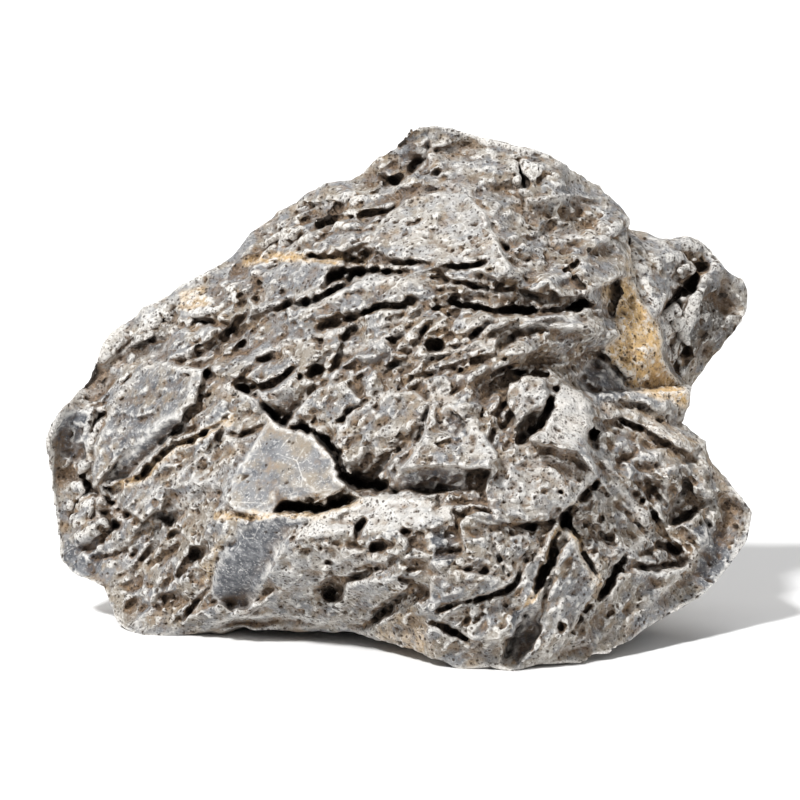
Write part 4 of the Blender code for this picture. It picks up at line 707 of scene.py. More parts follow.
# %% Crests
CREST_ENDS = 0.12           # share of a crest's length over which each end fades
# The pale line along a crest is partly rubbed calcite and partly a painted highlight.
CREST_LINE = (2.4, 0.4)     # half widths in pixels of the pale line along it, at its faint and its full edge
FRONT_CRESTS = [
    (path(366, 543, 377, 525, 396, 495, 414, 471, 436, 462), 12, 1.2),
    (path(601, 392, 612, 398, 616, 404.5, 622, 412, 628, 423, 630.6, 431, 638, 446, 648, 451), 15, 1.7),
    (path(634, 377, 642, 384, 640, 392, 649, 404, 662, 402, 676, 402), 14, 1.5),
    (path(747, 562, 753, 574, 756, 586, 753, 602, 744, 617, 734, 628.5, 718, 641, 707, 649), 14, 1.5),
    (path(465, 515, 479, 518, 492, 526, 505, 537), 10, 0.9),
    (path(502, 604, 498, 616, 491, 629, 484, 644), 10, 1.1),
    (path(455, 655, 474, 649.5, 503, 648.5, 527, 652, 540, 652), 12, 1.4),
    (path(698, 567, 707, 578, 715, 589, 712, 600), 10, 1.0),
    (path(414, 586, 437, 569.5, 451, 558, 472, 543), 12, 1.0),
    (path(426, 614, 431.5, 598, 444, 584, 459, 566), 12, 0.9),
    (path(573, 562, 583, 549, 587.5, 536, 591, 524, 590, 511, 601, 517, 610.5, 527, 620, 541,
      630, 551), 10, 1.0),
    (path(480, 497, 505, 488, 530, 482, 560, 476, 590, 470), 14, 0.9),
    (path(515, 503, 540, 492, 566, 484, 590, 478), 12, 0.8),
    (path(560, 505, 585, 497, 612, 490, 640, 484), 14, 0.9),
    (path(690, 496, 700, 508, 712, 520), 10, 0.8),
    # thin crests of the pitted flank
    (path(684, 524, 687, 540, 688, 560, 677, 578, 668, 592), 6, 0.8),
    (path(688, 546, 696, 560, 702, 574, 715, 588, 720, 600, 712, 608, 700, 618, 689, 630), 7, 1.2),
    (path(722, 548, 730, 566, 728, 580, 716, 592), 6, 0.9),
    (path(666, 600, 674, 604, 684, 620, 690, 632), 5, 0.8),
    (path(660, 620, 654, 640, 642, 660, 632, 677), 5, 0.8),
    (path(669, 634, 667, 650, 655, 674), 5, 0.8),
    (path(702, 526, 720, 534, 742, 548, 760, 566), 6, 0.9),
    (path(628, 600, 629, 612, 641, 630, 652, 628), 5, 0.7),
    # and of the blocks over the crevices
    (path(432, 500, 452, 504, 446, 526, 424, 542, 396, 570), 5, 0.6),
    (path(534, 547, 543, 531, 560, 519, 578, 516), 5, 0.7),
    (path(640, 412, 660, 428, 688, 424), 6, 0.8),
    (path(506, 466, 530, 462, 556, 452, 580, 450), 6, 0.9),
    (path(600, 474, 630, 478, 662, 478, 690, 476), 6, 0.9),
    (path(414, 600, 440, 584, 470, 560), 6, 0.8),
    (path(521, 592, 548, 584, 575, 580, 600, 584), 6, 0.8),
]
BACK_CRESTS = [
    (path(470, 470, 520, 480, 575, 500, 640, 515), 10, 2.5),
    (path(430, 590, 480, 590, 540, 580), 9, 2),
    (path(600, 560, 640, 548, 700, 548), 9, 2),
    (path(560, 415, 600, 430, 660, 445), 9, 2),
]


def raise_crest(side, line, width, rise):
    area = side.near(line, width)
    away, along = near_line(side.rough_px[area], side.rough_py[area], line)
    fade = smooth(0, CREST_ENDS, along) * smooth(0, CREST_ENDS, 1 - along)
    side.height[area] += rise * fade * np.clip(1 - 2 * away / width, 0, 1)
    side.lip[area] = np.maximum(side.lip[area], fade * smooth(*CREST_LINE, away))


on_both_sides(raise_crest, FRONT_CRESTS, BACK_CRESTS)

# %% [markdown]
# ## Crevices
# The black crevices give the stone its face. Each follows a line. Its walls lean, its sides are ragged
# because grains and chips fell out of them, and its width and depth fade toward its ends. The lip over it is
# worn back, and the lip under it stands out and catches the light, with a painted highlight along it.

# %% Where the crevices run
FRONT_CREVICES = [          # a line, its width in pixels and its depth in millimetres
    # the long crevice and its feeders
    (path(601, 463, 612, 466, 628, 468.6, 641, 469, 655.5, 469.6, 668, 468.6, 682, 465, 690, 466.5,
      695, 474), 6.5, 17),
    (path(496, 469.6, 508.6, 465, 522, 463, 531.5, 458.5, 541, 453, 547, 447.6, 555, 444.7, 567, 446,
      579, 444), 6, 13),
    (path(526, 454, 534, 448, 544, 446, 556, 443), 6, 8),
    (path(509.5, 431, 516, 434.5, 528, 436.5, 541, 438.5, 550, 438), 3.2, 7),
    (path(556, 441, 568, 440, 579, 439.5, 590, 441), 3, 6),
    (path(545, 471.5, 552.6, 468.6, 560, 466, 574.6, 465, 586, 462.5), 4.5, 10),
    (path(594, 442, 606, 442.6, 617, 441, 626, 438), 4, 9),
    (path(570, 450, 592, 449, 612, 452, 617, 454, 628, 457, 641, 455, 647, 460, 661, 463), 3, 6),
    (path(629, 424, 633, 430, 637, 435, 646, 439, 653, 437), 3, 6),
    (path(656, 446, 668, 446, 679, 440), 3, 5),
    (path(614, 401, 622, 409, 629, 422), 4, 5),
    (path(641, 374, 643, 388, 647, 396), 6, 7),
    (path(560, 397, 568, 391.5, 576, 388, 582, 381, 588, 377), 5, 7),
    (path(586, 391, 596, 386, 610, 384, 622, 384, 632, 380), 3, 3.5),
    (path(575.5, 419, 582, 416.5, 587, 413), 4, 6),
    (path(513, 407, 528, 404.8, 540, 404.5, 547, 400), 2.5, 4),
    # the forked crevice round the slab
    (path(476, 514, 486, 518, 493, 525, 500, 533, 507, 537.5), 5.5, 12),
    (path(507, 537.5, 514, 537, 522, 539, 529, 545.6, 535, 552, 536.5, 561, 541, 568, 548, 573), 6.5, 17),
    (path(541, 566, 550, 571, 560, 572, 566, 574), 12, 20),
    (path(552, 577, 540, 581, 528, 586, 516, 585, 505, 584, 494, 588), 7, 15),
    (path(474, 513, 486, 514, 498, 513, 508, 505, 514, 500), 6, 9),
    (path(533, 538, 540, 529, 552, 521), 3.5, 7),
    (path(516, 520, 508, 531, 503, 536), 3.5, 8),
    (path(562, 574, 578, 575, 592, 575.5, 606, 573), 3.5, 9),
    (path(590, 522, 588, 535, 582, 548, 572, 561), 4, 6),
    # left: the brown crevice under the lens, and small slots
    (path(404, 572, 422, 564.5, 436, 551, 446, 546, 460, 540, 473, 531), 5.5, 9),
    (path(429, 550, 438, 542, 445, 533), 5, 5),
    (path(470, 539, 478, 541.5, 488, 538), 4, 6),
    (path(396, 536, 393, 547, 390, 558), 4, 5),
    (path(384, 566, 392, 576, 400, 580, 408, 583), 6, 7),
    (path(395, 585, 402, 592, 408, 600), 5, 5),
    (path(452, 475, 462, 476, 472, 477), 5, 7),
    (path(404, 494, 412, 488, 418, 483), 2.5, 3),
    (path(421, 606, 430, 600), 4, 5),
    # the nose and the slabs right of it
    (path(539, 656, 551, 655, 562, 646, 570, 640, 580, 632), 4.5, 9),
    (path(541, 626, 551.6, 622.5, 563, 617), 4.5, 6),
    (path(588, 648.5, 597, 645.5, 607, 641, 616, 639, 627, 637, 634, 633.5, 641, 627, 645, 619,
      650, 613), 3.6, 10),
    (path(607, 620, 617, 622, 628, 624), 3, 6),
    (path(626, 598, 627, 608, 631.5, 617, 638, 627), 3.5, 7),
    (path(587, 652, 595, 653.5, 604, 658, 614, 662), 4.5, 8),
    (path(676, 582, 670, 590, 666, 600, 661, 617, 655, 629, 650, 640), 6.5, 13),
    (path(650, 640, 644, 652, 638, 664, 633, 677), 5, 3),
    (path(668, 584, 662, 592), 6, 7),
    (path(690, 570, 682, 577, 676, 582), 7, 9),
    (path(671, 590, 676, 601, 682, 615, 690, 629), 4.5, 9),
    (path(707, 612, 701, 620, 696, 629, 690, 639), 6, 11),
    (path(711, 613, 720, 611, 728, 606), 5, 7),
    (path(689, 638, 683, 644, 677, 653, 668, 663), 3, 5),
    (path(711, 620, 725, 620.5, 740, 619), 4.5, 9),
    (path(729, 594, 738, 592, 748, 585, 755, 581.5), 4.5, 8),
    (path(730, 587, 735, 578, 741, 568), 4, 6),
    (path(641, 504, 652, 506, 662, 508), 3.5, 6),
    (path(661, 514, 661, 526, 655, 535, 645, 544), 5.5, 11),
    (path(687, 536, 686, 544, 689, 553), 5, 8),
    (path(634, 540, 628, 530, 622, 526), 3, 4),
    # the wall, the recess and the lobe
    (path(740, 526, 735, 531, 731, 536), 5, 8),
    (path(681, 511, 690, 518), 4, 5),
    (path(757, 438, 747.5, 447, 738, 457, 729, 466, 722, 473), 7, 10),
    (path(738, 441, 733, 448, 729, 456), 5, 6),
    (path(749, 463, 750, 477), 4, 5),
    (path(705.5, 424, 708, 440, 705, 448), 4, 5),
    (path(612, 485.5, 619, 481, 626, 474), 4, 5),
    (path(630, 493, 637, 486, 640, 481), 4, 4),
    (path(478, 490, 484, 484, 489, 479), 5, 5),
]
BACK_CREVICES = [
    (path(430, 500, 470, 505, 520, 500, 575, 515, 640, 530, 690, 525), 7, 12),
    (path(575, 515, 566, 560, 575, 610, 560, 655), 6, 10),
    (path(480, 430, 510, 460, 560, 470, 610, 455, 660, 470, 700, 462), 5, 9),
    (path(690, 525, 720, 560, 715, 600, 735, 625), 5, 8),
    (path(440, 560, 480, 570, 530, 560, 566, 566), 5, 8),
    (path(646, 398, 634, 414, 640, 432, 622, 446, 610, 455), 3, 3.5),
    (path(640, 530, 648, 570, 640, 620, 655, 650), 4, 7),
    (path(528, 408, 541, 425, 537, 444, 552, 458, 560, 470), 3, 3.5),
    (path(470, 620, 510, 612, 558, 622), 4, 6),
]


print(len(FRONT_CREVICES), "crevices to cut in front")

# %% Cut the crevices
CREVICE_ENDS = 0.2          # share of a crevice's length over which each end fades
CREVICE_LEAST = 0.25        # width and depth of a crevice at its very ends
CREVICE_OPENING = 1.0       # width at the top against the width that looks black
CREVICE_WALL = 0.8          # below one the walls are steeper than a plain V
RAGGED = [(9.0, 0.3, 81), (2.6, 0.25, 82)]      # size in pixels, share of the width, seed
LIP_REACH = 4.0             # width of both lips together, against the crevice's own
LIP_STAND = 0.1             # how far the lower lip stands out and the upper one back, against the depth
# strength of the painted highlight along the lower lip
LOWER_LIP_HIGHLIGHT = 0.9              # how pale the lower lip's line is


def cut_crevice(side, line, width, depth):
    area = side.near(line, 3 * width)
    away, along = near_line(side.rough_px[area], side.rough_py[area], line)
    fade = smooth(0, CREVICE_ENDS, along) * smooth(0, CREVICE_ENDS, 1 - along)
    fade = CREVICE_LEAST + (1 - CREVICE_LEAST) * fade
    fade *= 1 + side.ragged[area]
    wall = np.clip(1 - 2 * away / (CREVICE_OPENING * width * fade), 0, 1)
    side.height[area] -= depth * fade * wall ** CREVICE_WALL
    lip = smooth(1, 0.2, 2 * away / (LIP_REACH * width * fade))
    higher = near_line(side.rough_px[area], side.rough_py[area] - 1, line)[0]
    under = smooth(-0.6, 0.6, away - higher)
    side.height[area] += depth * fade * lip * (2 * LIP_STAND * under - LIP_STAND)
    # The pale line along the lower lip is a painted highlight: that lip faces the light from above.
    edge = 2 * away / (CREVICE_OPENING * width * fade)
    pale_and_highlight = smooth(0.85, 1.1, edge) * smooth(1.8, 1.3, edge) * under
    side.lip[area] = np.maximum(side.lip[area], LOWER_LIP_HIGHLIGHT * pale_and_highlight)


for side in (front, back):
    side.ragged = sum(part * picture_noise(side.px, side.py, size, seed, 0) for size, part, seed in RAGGED)
on_both_sides(cut_crevice, FRONT_CREVICES, BACK_CREVICES)
print("the deepest place of the front lies", round(float((front.base - front.height).max()), 1), "mm in")

# %% [markdown]
# ## Large holes
# Where a soft shell or a pebble fell out, a hole is left. A hole is a bowl with a ragged edge, turned as the
# photograph shows it.

# %% Large holes
HOLE_WANDER = 1.2           # how ragged the edge is
HOLE_WALL = 0.75            # below one the walls are steeper than a cone's
FRONT_HOLES = [
    (549, 597, 16, 6, 55, 9), (562, 606, 16, 7, 5, 8), (530, 617, 6, 5, 0, 5), (532, 633, 12, 17, 10, 6),
    (517, 610, 8, 4, 10, 4), (416, 611, 8, 6, 40, 5), (426, 631, 8, 6, 20, 4), (422, 645, 9, 6, 20, 4),
    (431, 643, 6, 5, 0, 4), (453, 612, 13, 12, 0, 6), (593, 489, 12, 9, -20, 6), (585, 480, 6, 5, 0, 5),
    (665, 481.5, 8, 4, 0, 4), (682, 475, 5, 4, 0, 4), (671, 434, 10, 8, 20, 5), (646, 392, 9, 11, 0, 6),
    (544, 397, 6, 6, 0, 4), (503, 428, 9, 5, 10, 4), (487, 462, 8, 6, 0, 5), (567, 487, 9, 5, 20, 4),
    (523, 504, 12, 7, 30, 6), (685.5, 541, 5, 12, 0, 8), (667.5, 655, 5, 9, 0, 5), (721.6, 589, 7, 6, 0, 5),
    (690, 591.5, 5, 8, 0, 5), (695, 602, 12, 8, 0, 4), (700, 559, 7, 9, 0, 4), (730, 608, 16, 8, -20, 5),
    (671, 592, 9, 14, 0, 9), (765, 465, 8, 12, 30, 6), (734, 493, 7, 5, 0, 4), (723, 477, 6, 10, 20, 6),
    (704, 433, 7, 9, 0, 4), (754, 566, 6, 5, 0, 4), (757, 572, 5, 4, 0, 3), (701, 543, 8, 5, 0, 3),
    (716, 580, 7, 5, 40, 4), (710, 577, 8, 5, 40, 3), (667, 575, 5, 5, 0, 3), (657, 575, 5, 5, 0, 3),
    (641, 592, 14, 4, -10, 3), (612, 588, 7, 6, 0, 3), (574, 598, 5, 4, 0, 3), (402, 573, 9, 6, 0, 5),
    (440, 600, 8, 5, 30, 3), (473, 605, 6, 4, 40, 3),
]
BACK_HOLES = [
    (500, 490, 14, 9, 20, 5), (610, 500, 12, 9, 0, 5), (680, 560, 14, 10, 30, 6), (530, 600, 10, 8, 0, 5),
    (600, 620, 12, 8, 60, 5), (460, 540, 10, 8, 0, 4), (700, 440, 10, 7, 0, 4), (580, 430, 9, 7, 0, 4),
    (640, 610, 9, 7, 0, 4), (510, 640, 12, 8, 0, 4), (730, 590, 9, 7, 0, 4),
]


def sink_hole(side, x, y, length, width, turn, depth):
    area = side.near([(x, y)], length)
    dx, dy = side.rough_px[area] - x, side.rough_py[area] - y
    cos, sin = math.cos(math.radians(turn)), math.sin(math.radians(turn))
    square = (2 * (dx * cos - dy * sin) / length) ** 2 + (2 * (dx * sin + dy * cos) / width) ** 2
    square *= 1 + HOLE_WANDER * side.ragged[area]
    side.height[area] -= depth * np.clip(1 - square, 0, 1) ** HOLE_WALL


on_both_sides(sink_hole, FRONT_HOLES, BACK_HOLES)

# %% [markdown]
# ## From the picture to the room
# A place and a depth become a point in millimetres right, away and up, true to the eye's perspective, and a
# point becomes a place and a depth again. The second way is needed to ask later what part of the picture a
# point of the finished stone shows.

# %% Picture and room
TOWARD_EYE = np.array([0, -math.cos(LOOK_DOWN), math.sin(LOOK_DOWN)])
PICTURE_UP = np.array([0, math.sin(LOOK_DOWN), math.cos(LOOK_DOWN)])
AIM = np.array([0, 0, AIM_HEIGHT])
SIDES_MEET = (0.35, 0.65)   # shares of the way through the stone over which back passes into front


def to_space(px, py, depth):
    nearness = 1 - depth / EYE_DISTANCE
    right = (px - AIM_X) * PIXEL * nearness
    rise = (AIM_Y - py) * PIXEL * nearness
    points = np.outer(rise, PICTURE_UP) + np.outer(depth, TOWARD_EYE) + AIM
    points[:, 0] += right
    return points


def to_picture(points):
    depth = (points - AIM) @ TOWARD_EYE
    rise = (points - AIM) @ PICTURE_UP
    nearness = 1 - depth / EYE_DISTANCE
    return AIM_X + points[:, 0] / (PIXEL * nearness), AIM_Y - rise / (PIXEL * nearness), depth


def picture_values(points, names):
    """Values of the sheets at points of the skin: the front sheet's before, the back sheet's behind."""
    px, py, depth = to_picture(points)
    before, behind = front.read(front.base, px, py), -back.read(back.base, px, py)
    share = smooth(*SIDES_MEET, (depth - behind) / np.maximum(before - behind, 1))
    values = []
    for name in names:
        ahead = front.read(getattr(front, name), px, py)
        astern = back.read(getattr(back, name), px, py)
        values.append(share * ahead + (1 - share) * astern)
    return values, share


check = to_picture(to_space(np.array([600.0]), np.array([450.0]), np.array([30.0])))
print("there and back again:", [round(float(v[0]), 3) for v in check])

# %% [markdown]
# ## A ball becomes the block
# The two sheets have to become one closed skin. Joining two sheets along a ragged rim is hard, so a ball is
# stretched onto them instead: its equator goes to the outline, its near half to the front and its far half to
# the back. The rim wanders to and fro in depth, so that the stone has no knife edge, and no cut may reach
# through to the other side.

# %% Points of a mesh
def rows_of(collection, name):
    flat = np.empty(len(collection) * 3)
    collection.foreach_get(name, flat)
    return flat.reshape(-1, 3)


def mesh_points(mesh):
    return rows_of(mesh.vertices, "co")


def mesh_normals(mesh):
    return rows_of(mesh.vertex_normals, "vector")


def set_points(mesh, points):
    mesh.vertices.foreach_set("co", points.ravel())
    mesh.update()


# %% The block
BALL_SUBDIVISIONS = 9
FRONT_FULLNESS = 4          # how square the front is toward its rim
BACK_FULLNESS = 6
DEEPEST_CUT = 0.45          # share of the thickness behind the rim that a crevice may reach into
RIM_SWAY = [(46.0, 9.0, 61), (17.0, 5.0, 62)]   # length in pixels, distance, seed
SWAY_ENDS = (60, 110)       # pixels below the heart over which it stops wandering
THIN_SHARE = 0.45           # no relief is deeper or higher than this share of the thickness,
THIN_LEAST = 0.3            # and this many millimetres
RIM_FADE = 0.1              # share of the way in from the rim over which the relief begins


def block_points(ball):
    """Moves the points of a unit ball onto the stone's outline, front and back."""
    right, away, up = ball.T
    toward = -away
    turn = np.arctan2(up, right)
    out = 1 - np.arcsin(np.clip(np.abs(toward), 0, 1)) / (math.pi / 2)
    rim = np.array(OUTLINE, float)
    rim_turn = np.arctan2(HEART[1] - rim[:, 1], rim[:, 0] - HEART[0])
    rim_reach = np.hypot(rim[:, 0] - HEART[0], rim[:, 1] - HEART[1])
    order = np.argsort(rim_turn)
    reach = np.interp(turn, rim_turn[order], rim_reach[order], period=2 * math.pi)
    rim_depth = np.interp(turn, rim_turn[order], rim[order, 2], period=2 * math.pi)
    px = HEART[0] + reach * out * np.cos(turn)
    py = HEART[1] - reach * out * np.sin(turn)
    front_bulge, back_bulge = np.sqrt(1 - out ** FRONT_FULLNESS), np.sqrt(1 - out ** BACK_FULLNESS)
    detail = smooth(0, RIM_FADE, 1 - out)
    around = np.column_stack([px, py, np.zeros(len(px))])
    steady = smooth(*SWAY_ENDS, py - HEART[1])
    for size, sway, seed in RIM_SWAY:
        rim_depth = rim_depth + sway * (1 - steady) * noise(around / size, seed)
    depth = rim_depth.copy()
    for side, bulge, other, other_bulge, mine in (
        (front, front_bulge, back, back_bulge, toward >= 0),
        (back, back_bulge, front, front_bulge, toward < 0),
    ):
        base = side.read(side.base, px, py)
        broken = side.read(side.height, px, py) - base
        before = bulge * (base - side.outward * rim_depth)
        behind = other_bulge * (other.read(other.base, px, py) - other.outward * rim_depth)
        most = THIN_SHARE * np.maximum(before + behind, 0) + THIN_LEAST
        outward = before + detail * np.clip(broken, -most, most)
        outward = np.maximum(outward, -DEEPEST_CUT * behind)
        depth = np.where(mine, rim_depth + side.outward * outward, depth)
    return to_space(px, py, depth), rim_depth - depth


ball = bmesh.new()
bmesh.ops.create_icosphere(ball, subdivisions=BALL_SUBDIVISIONS, radius=1.0)
stone_mesh = bpy.data.meshes.new("seiryu_stone")
ball.to_mesh(stone_mesh)
ball.free()
stone = bpy.data.objects.new("seiryu_stone", stone_mesh)
bpy.context.scene.collection.objects.link(stone)
points, behind_rim = block_points(mesh_points(stone.data))
print("block of", len(points), "points")

# %% [markdown]
# ## Faces broken off the flanks, and the hollow underside
# Behind the rim the block is still round. Planes that cut into it flatten it like blows of a hammer. The
# underside is lifted clear of the ground, except at three spots that the stone rests on.

# %% Flanks and underside
BROKEN_SHARE = 0.85         # how flat such a face is
BROKEN_REACH = (4, 45)      # distances behind the rim over which it begins
BROKEN_FACES = [
    (-96, 8, 97), (-122, -14, 84), (-66, 30, 90), (-84, -30, 86), (96, 34, 82), (128, 8, 94),
    (112, -26, 86), (180, 24, 76), (205, -12, 76), (150, 40, 78), (-140, 42, 68), (20, 68, 76),
    (-150, 66, 70), (178, 62, 70),
]
REST_SPOTS = [(33, -53, 17), (-64, -6, 15), (36, 42, 17)]
REST_RIM = (0.7, 1.5)       # shares of that radius over which a spot rises to the hollow underside
REST_DROP = 6.0             # how far a spot drops below the underside, so that the ground cuts it flat
GROUND_CLEARANCE = 3.2      # height of the hollow underside over the ground
UNDERSIDE_WAVES = [(14.0, 1.6, 71), (6.0, 0.9, 72)]     # size across, height, seed


def compass(turn, tilt):
    turn, tilt = math.radians(turn), math.radians(tilt)
    return np.array([math.cos(tilt) * math.sin(turn), -math.cos(tilt) * math.cos(turn), math.sin(tilt)])


def break_faces(points, behind_rim):
    share = BROKEN_SHARE * smooth(*BROKEN_REACH, behind_rim)
    for turn, tilt, distance in BROKEN_FACES:
        normal = compass(turn, tilt)
        beyond = np.maximum((points - AIM) @ normal - distance, 0)
        points = points - np.outer(beyond * share, normal)
    return points


def hollow_underside(points):
    floor = np.full(len(points), GROUND_CLEARANCE)
    for size, height, seed in UNDERSIDE_WAVES:
        floor += height * noise(points * [1 / size, 1 / size, 0], seed)
    for x, y, radius in REST_SPOTS:
        away = np.hypot(points[:, 0] - x, points[:, 1] - y)
        floor -= REST_DROP * (1 - smooth(*REST_RIM, away / radius))
    return np.column_stack([points[:, :2], np.maximum(points[:, 2], floor)])


points = hollow_underside(break_faces(points, behind_rim))
print("box in millimetres from", points.min(axis=0).round(1), "to", points.max(axis=0).round(1))

# %% [markdown]
# ## An even skin
# The stretched ball has long thin faces on every cliff. A voxel remesh lays a fresh skin of even squares over
# it, fine enough for pits a millimetre wide. A little smoothing takes away the stair steps that voxels leave.

# %% Remesh
VOXEL = 0.55                # in millimetres
SETTLE_STEPS = 1
SETTLE_SHARE = 0.5


def apply_modifier(obj, kind, **settings):
    modifier = obj.modifiers.new(kind.title(), kind)
    for name, value in settings.items():
        setattr(modifier, name, value)
    shaped = bpy.data.meshes.new_from_object(obj.evaluated_get(bpy.context.evaluated_depsgraph_get()))
    obj.modifiers.clear()
    old = obj.data
    obj.data = shaped
    bpy.data.meshes.remove(old)


set_points(stone.data, points * MM)
apply_modifier(stone, "REMESH", mode="VOXEL", voxel_size=VOXEL * MM)
apply_modifier(stone, "SMOOTH", factor=SETTLE_SHARE, iterations=SETTLE_STEPS)
print("even skin of", len(stone.data.vertices), "points")

# %% [markdown]
# ## Cracks and lumps of the flanks
# The flanks and the back, which no line of the picture describes, get cracks along lines in space and low
# lumps from noise. A ray through the stone says how thick it is, because no crack may cut a thin rim through.

# %% Thickness
RAY_START = 0.1             # how far under the skin a ray through the stone starts


def thickness(mesh, most):
    """Distance straight through the stone from each point, up to a most in millimetres."""
    tree = BVHTree.FromPolygons([v.co for v in mesh.vertices], [p.vertices for p in mesh.polygons])
    found = np.full(len(mesh.vertices), most)
    for index, (vertex, normal) in enumerate(zip(mesh.vertices, mesh.vertex_normals)):
        start = vertex.co - normal.vector * (RAY_START * MM)
        reach = tree.ray_cast(start, -normal.vector, most * MM)[3]
        if reach is not None:
            found[index] = reach / MM
    return found


# %% Flank cracks and lumps
CRACK_REACH = 26            # how far off its points a crack still cuts
CRACK_THICK = (3.0, 16.0)   # thicknesses at which a crack is shallowest and cut to its full depth
CRACKS_END = (0.5, 0.1)     # shares of the way to the front over which the cracks fade
FLANK_CRACKS = [
    ([(-95, -10, 4), (-88, 10, 8), (-70, 34, 10)], 3.5, 6),
    ([(-92, -6, -22), (-80, 16, -16), (-66, 32, -22)], 3.5, 6),
    ([(-60, -6, 38), (-52, 16, 40), (-44, 34, 30)], 3.0, 5),
    ([(-20, 4, 64), (-6, 24, 62), (4, 44, 52)], 3.5, 6),
    ([(30, 2, 72), (40, 22, 66), (36, 46, 54)], 3.0, 5),
    ([(100, 22, 20), (92, 44, 14), (76, 58, 16)], 3.5, 6),
    ([(102, 4, -22), (94, 26, -22), (84, 46, -30)], 3.5, 6),
    ([(98, 0, -42), (84, 24, -46), (64, 46, -46)], 3.0, 5),
    ([(92, -14, -10), (100, 10, -8), (94, 30, -4)], 3.0, 5),
]
LUMPS = [(24.0, 1.6, 11), (10.0, 0.9, 23)]      # size across, height, seed
LUMPS_BEGIN = (-10, 30)     # places away from the front over which they begin
LUMPS_CLEAR = (1.5, 5.0)    # heights over the ground over which they begin


def crack_flanks(points):
    """Cuts the cracks toward the middle of the stone, as deep as its thickness there allows."""
    inward = AIM - points
    inward /= np.linalg.norm(inward, axis=1)[:, None]
    sturdy = smooth(*CRACK_THICK, thickness(stone.data, CRACK_THICK[1]))
    sturdy *= smooth(*CRACKS_END, picture_values(points, [])[1])
    for line, width, depth in FLANK_CRACKS:
        nearest = np.full(len(points), np.inf)
        for a, b in zip(line, line[1:]):
            a, b = np.array(a, float) + AIM, np.array(b, float) + AIM
            reach = CRACK_REACH + math.dist(a, b) / 2
            close = np.nonzero((np.abs(points - (a + b) / 2) < reach).all(axis=1))[0]
            there, inward_there = points[close], inward[close]
            ahead = np.clip((there - a) @ (b - a) / np.dot(b - a, b - a), 0, 1)
            gap = there - a - np.outer(ahead, b - a)
            across = gap - inward_there * (gap * inward_there).sum(1)[:, None]
            off = np.linalg.norm(across, axis=1)
            off[np.linalg.norm(gap, axis=1) > CRACK_REACH] = np.inf
            nearest[close] = np.minimum(nearest[close], off)
        share = np.clip(1 - (2 * nearest / width) ** 2, 0, 1)
        points = points + inward * (depth * sturdy * np.sqrt(share))[:, None]
    return points


def add_lumps(points, normals):
    rise = np.zeros(len(points))
    for size, height, seed in LUMPS:
        rise += height * (FOLD_LEVEL - 2 * np.abs(noise(points / size, seed)))
    behind = smooth(*LUMPS_BEGIN, points[:, 1])
    clear = smooth(*LUMPS_CLEAR, points[:, 2])
    return points + normals * (rise * behind * clear)[:, None]


points, normals = mesh_points(stone.data) / MM, mesh_normals(stone.data)
points = crack_flanks(add_lumps(points, normals))
set_points(stone.data, points * MM)
print(len(FLANK_CRACKS), "cracks cut into the flanks")

# %% [markdown]
# ## What each point of the skin is part of
# Weathered rock is scalloped and pitted, a freshly broken plate is nearly smooth. Each point asks the sheet
# before it how flat its plate is, and which way the grain runs there.

# %% Zones of the skin
THICK = 6.0                 # thicknesses are measured up to this
STURDY = (1.0, 5.0)         # thicknesses at which nothing may be cut into the skin, and everything
COMB_BEGINS = (600, 680)    # picture places over which the right flank's honeycomb begins
FLAT_PLATE = (0.84, 0.96)   # flatness over which a plate passes from weathered to nearly smooth
HARD_TONE = (-0.1, 0.6)     # tones over which a shard passes from weathered to nearly smooth
SMOOTH_SHARE = 0.75         # share of the weathering that such plates and shards are spared


def grain_run(points, normals):
    """The run of the grain at each point, along the skin."""
    (run_x, run_y), _ = picture_values(points, ["run_x", "run_y"])
    run = np.outer(-run_y, PICTURE_UP)
    run[:, 0] += run_x
    run -= normals * (run * normals).sum(1)[:, None]
    return run / np.maximum(np.linalg.norm(run, axis=1), 0.05)[:, None]


points, normals = mesh_points(stone.data) / MM, mesh_normals(stone.data)
(flatness, tone), facing = picture_values(points, ["flatness", "tone"])
weathered = 1 - SMOOTH_SHARE * smooth(*FLAT_PLATE, flatness)
weathered *= 1 - SMOOTH_SHARE * smooth(*HARD_TONE, tone)
comb = smooth(*COMB_BEGINS, to_picture(points)[0])
sturdy = smooth(*STURDY, thickness(stone.data, THICK))
run = grain_run(points, normals)
print("weathered share of the skin", round(float(weathered.mean()), 2))

# %% [markdown]
# ## Scallops
# Water hollows limestone into little bowls that meet in sharp ridges. Cells of a jittered lattice do the
# same: inside a cell the height grows with the square of the distance to its seed, so two bowls meet in a
# sharp ridge. The cells are longer along the grain. Folded noise adds the crumbly grain between them.

# %% Scallops
SCALLOPS = [(5.0, 1.6, 0.7, 101), (2.4, 1.5, 0.55, 102)]   # size, stretch, depth, seed
COMB = [(3.8, 1.3, 1.0, 105), (2.0, 1.2, 0.45, 106)]
SCALLOP_LEVEL = 0.35        # where a bowl neither rises nor falls, in squared cell sizes
SCALLOP_SWAY = (0.6, 2.5)   # how far the bowls are shifted about, and the length of that, in cell sizes
SCALLOP_PATCH = 5           # size of the patches that have scallops, in cell sizes
CRUMBS = [(3.8, 0.4, 111), (1.9, 0.35, 112), (1.1, 0.25, 113)]      # size, height, seed
CRUMB_LEVEL = 0.4
SCALLOPS_CLEAR = (0.5, 3.0)     # heights over the ground over which they begin


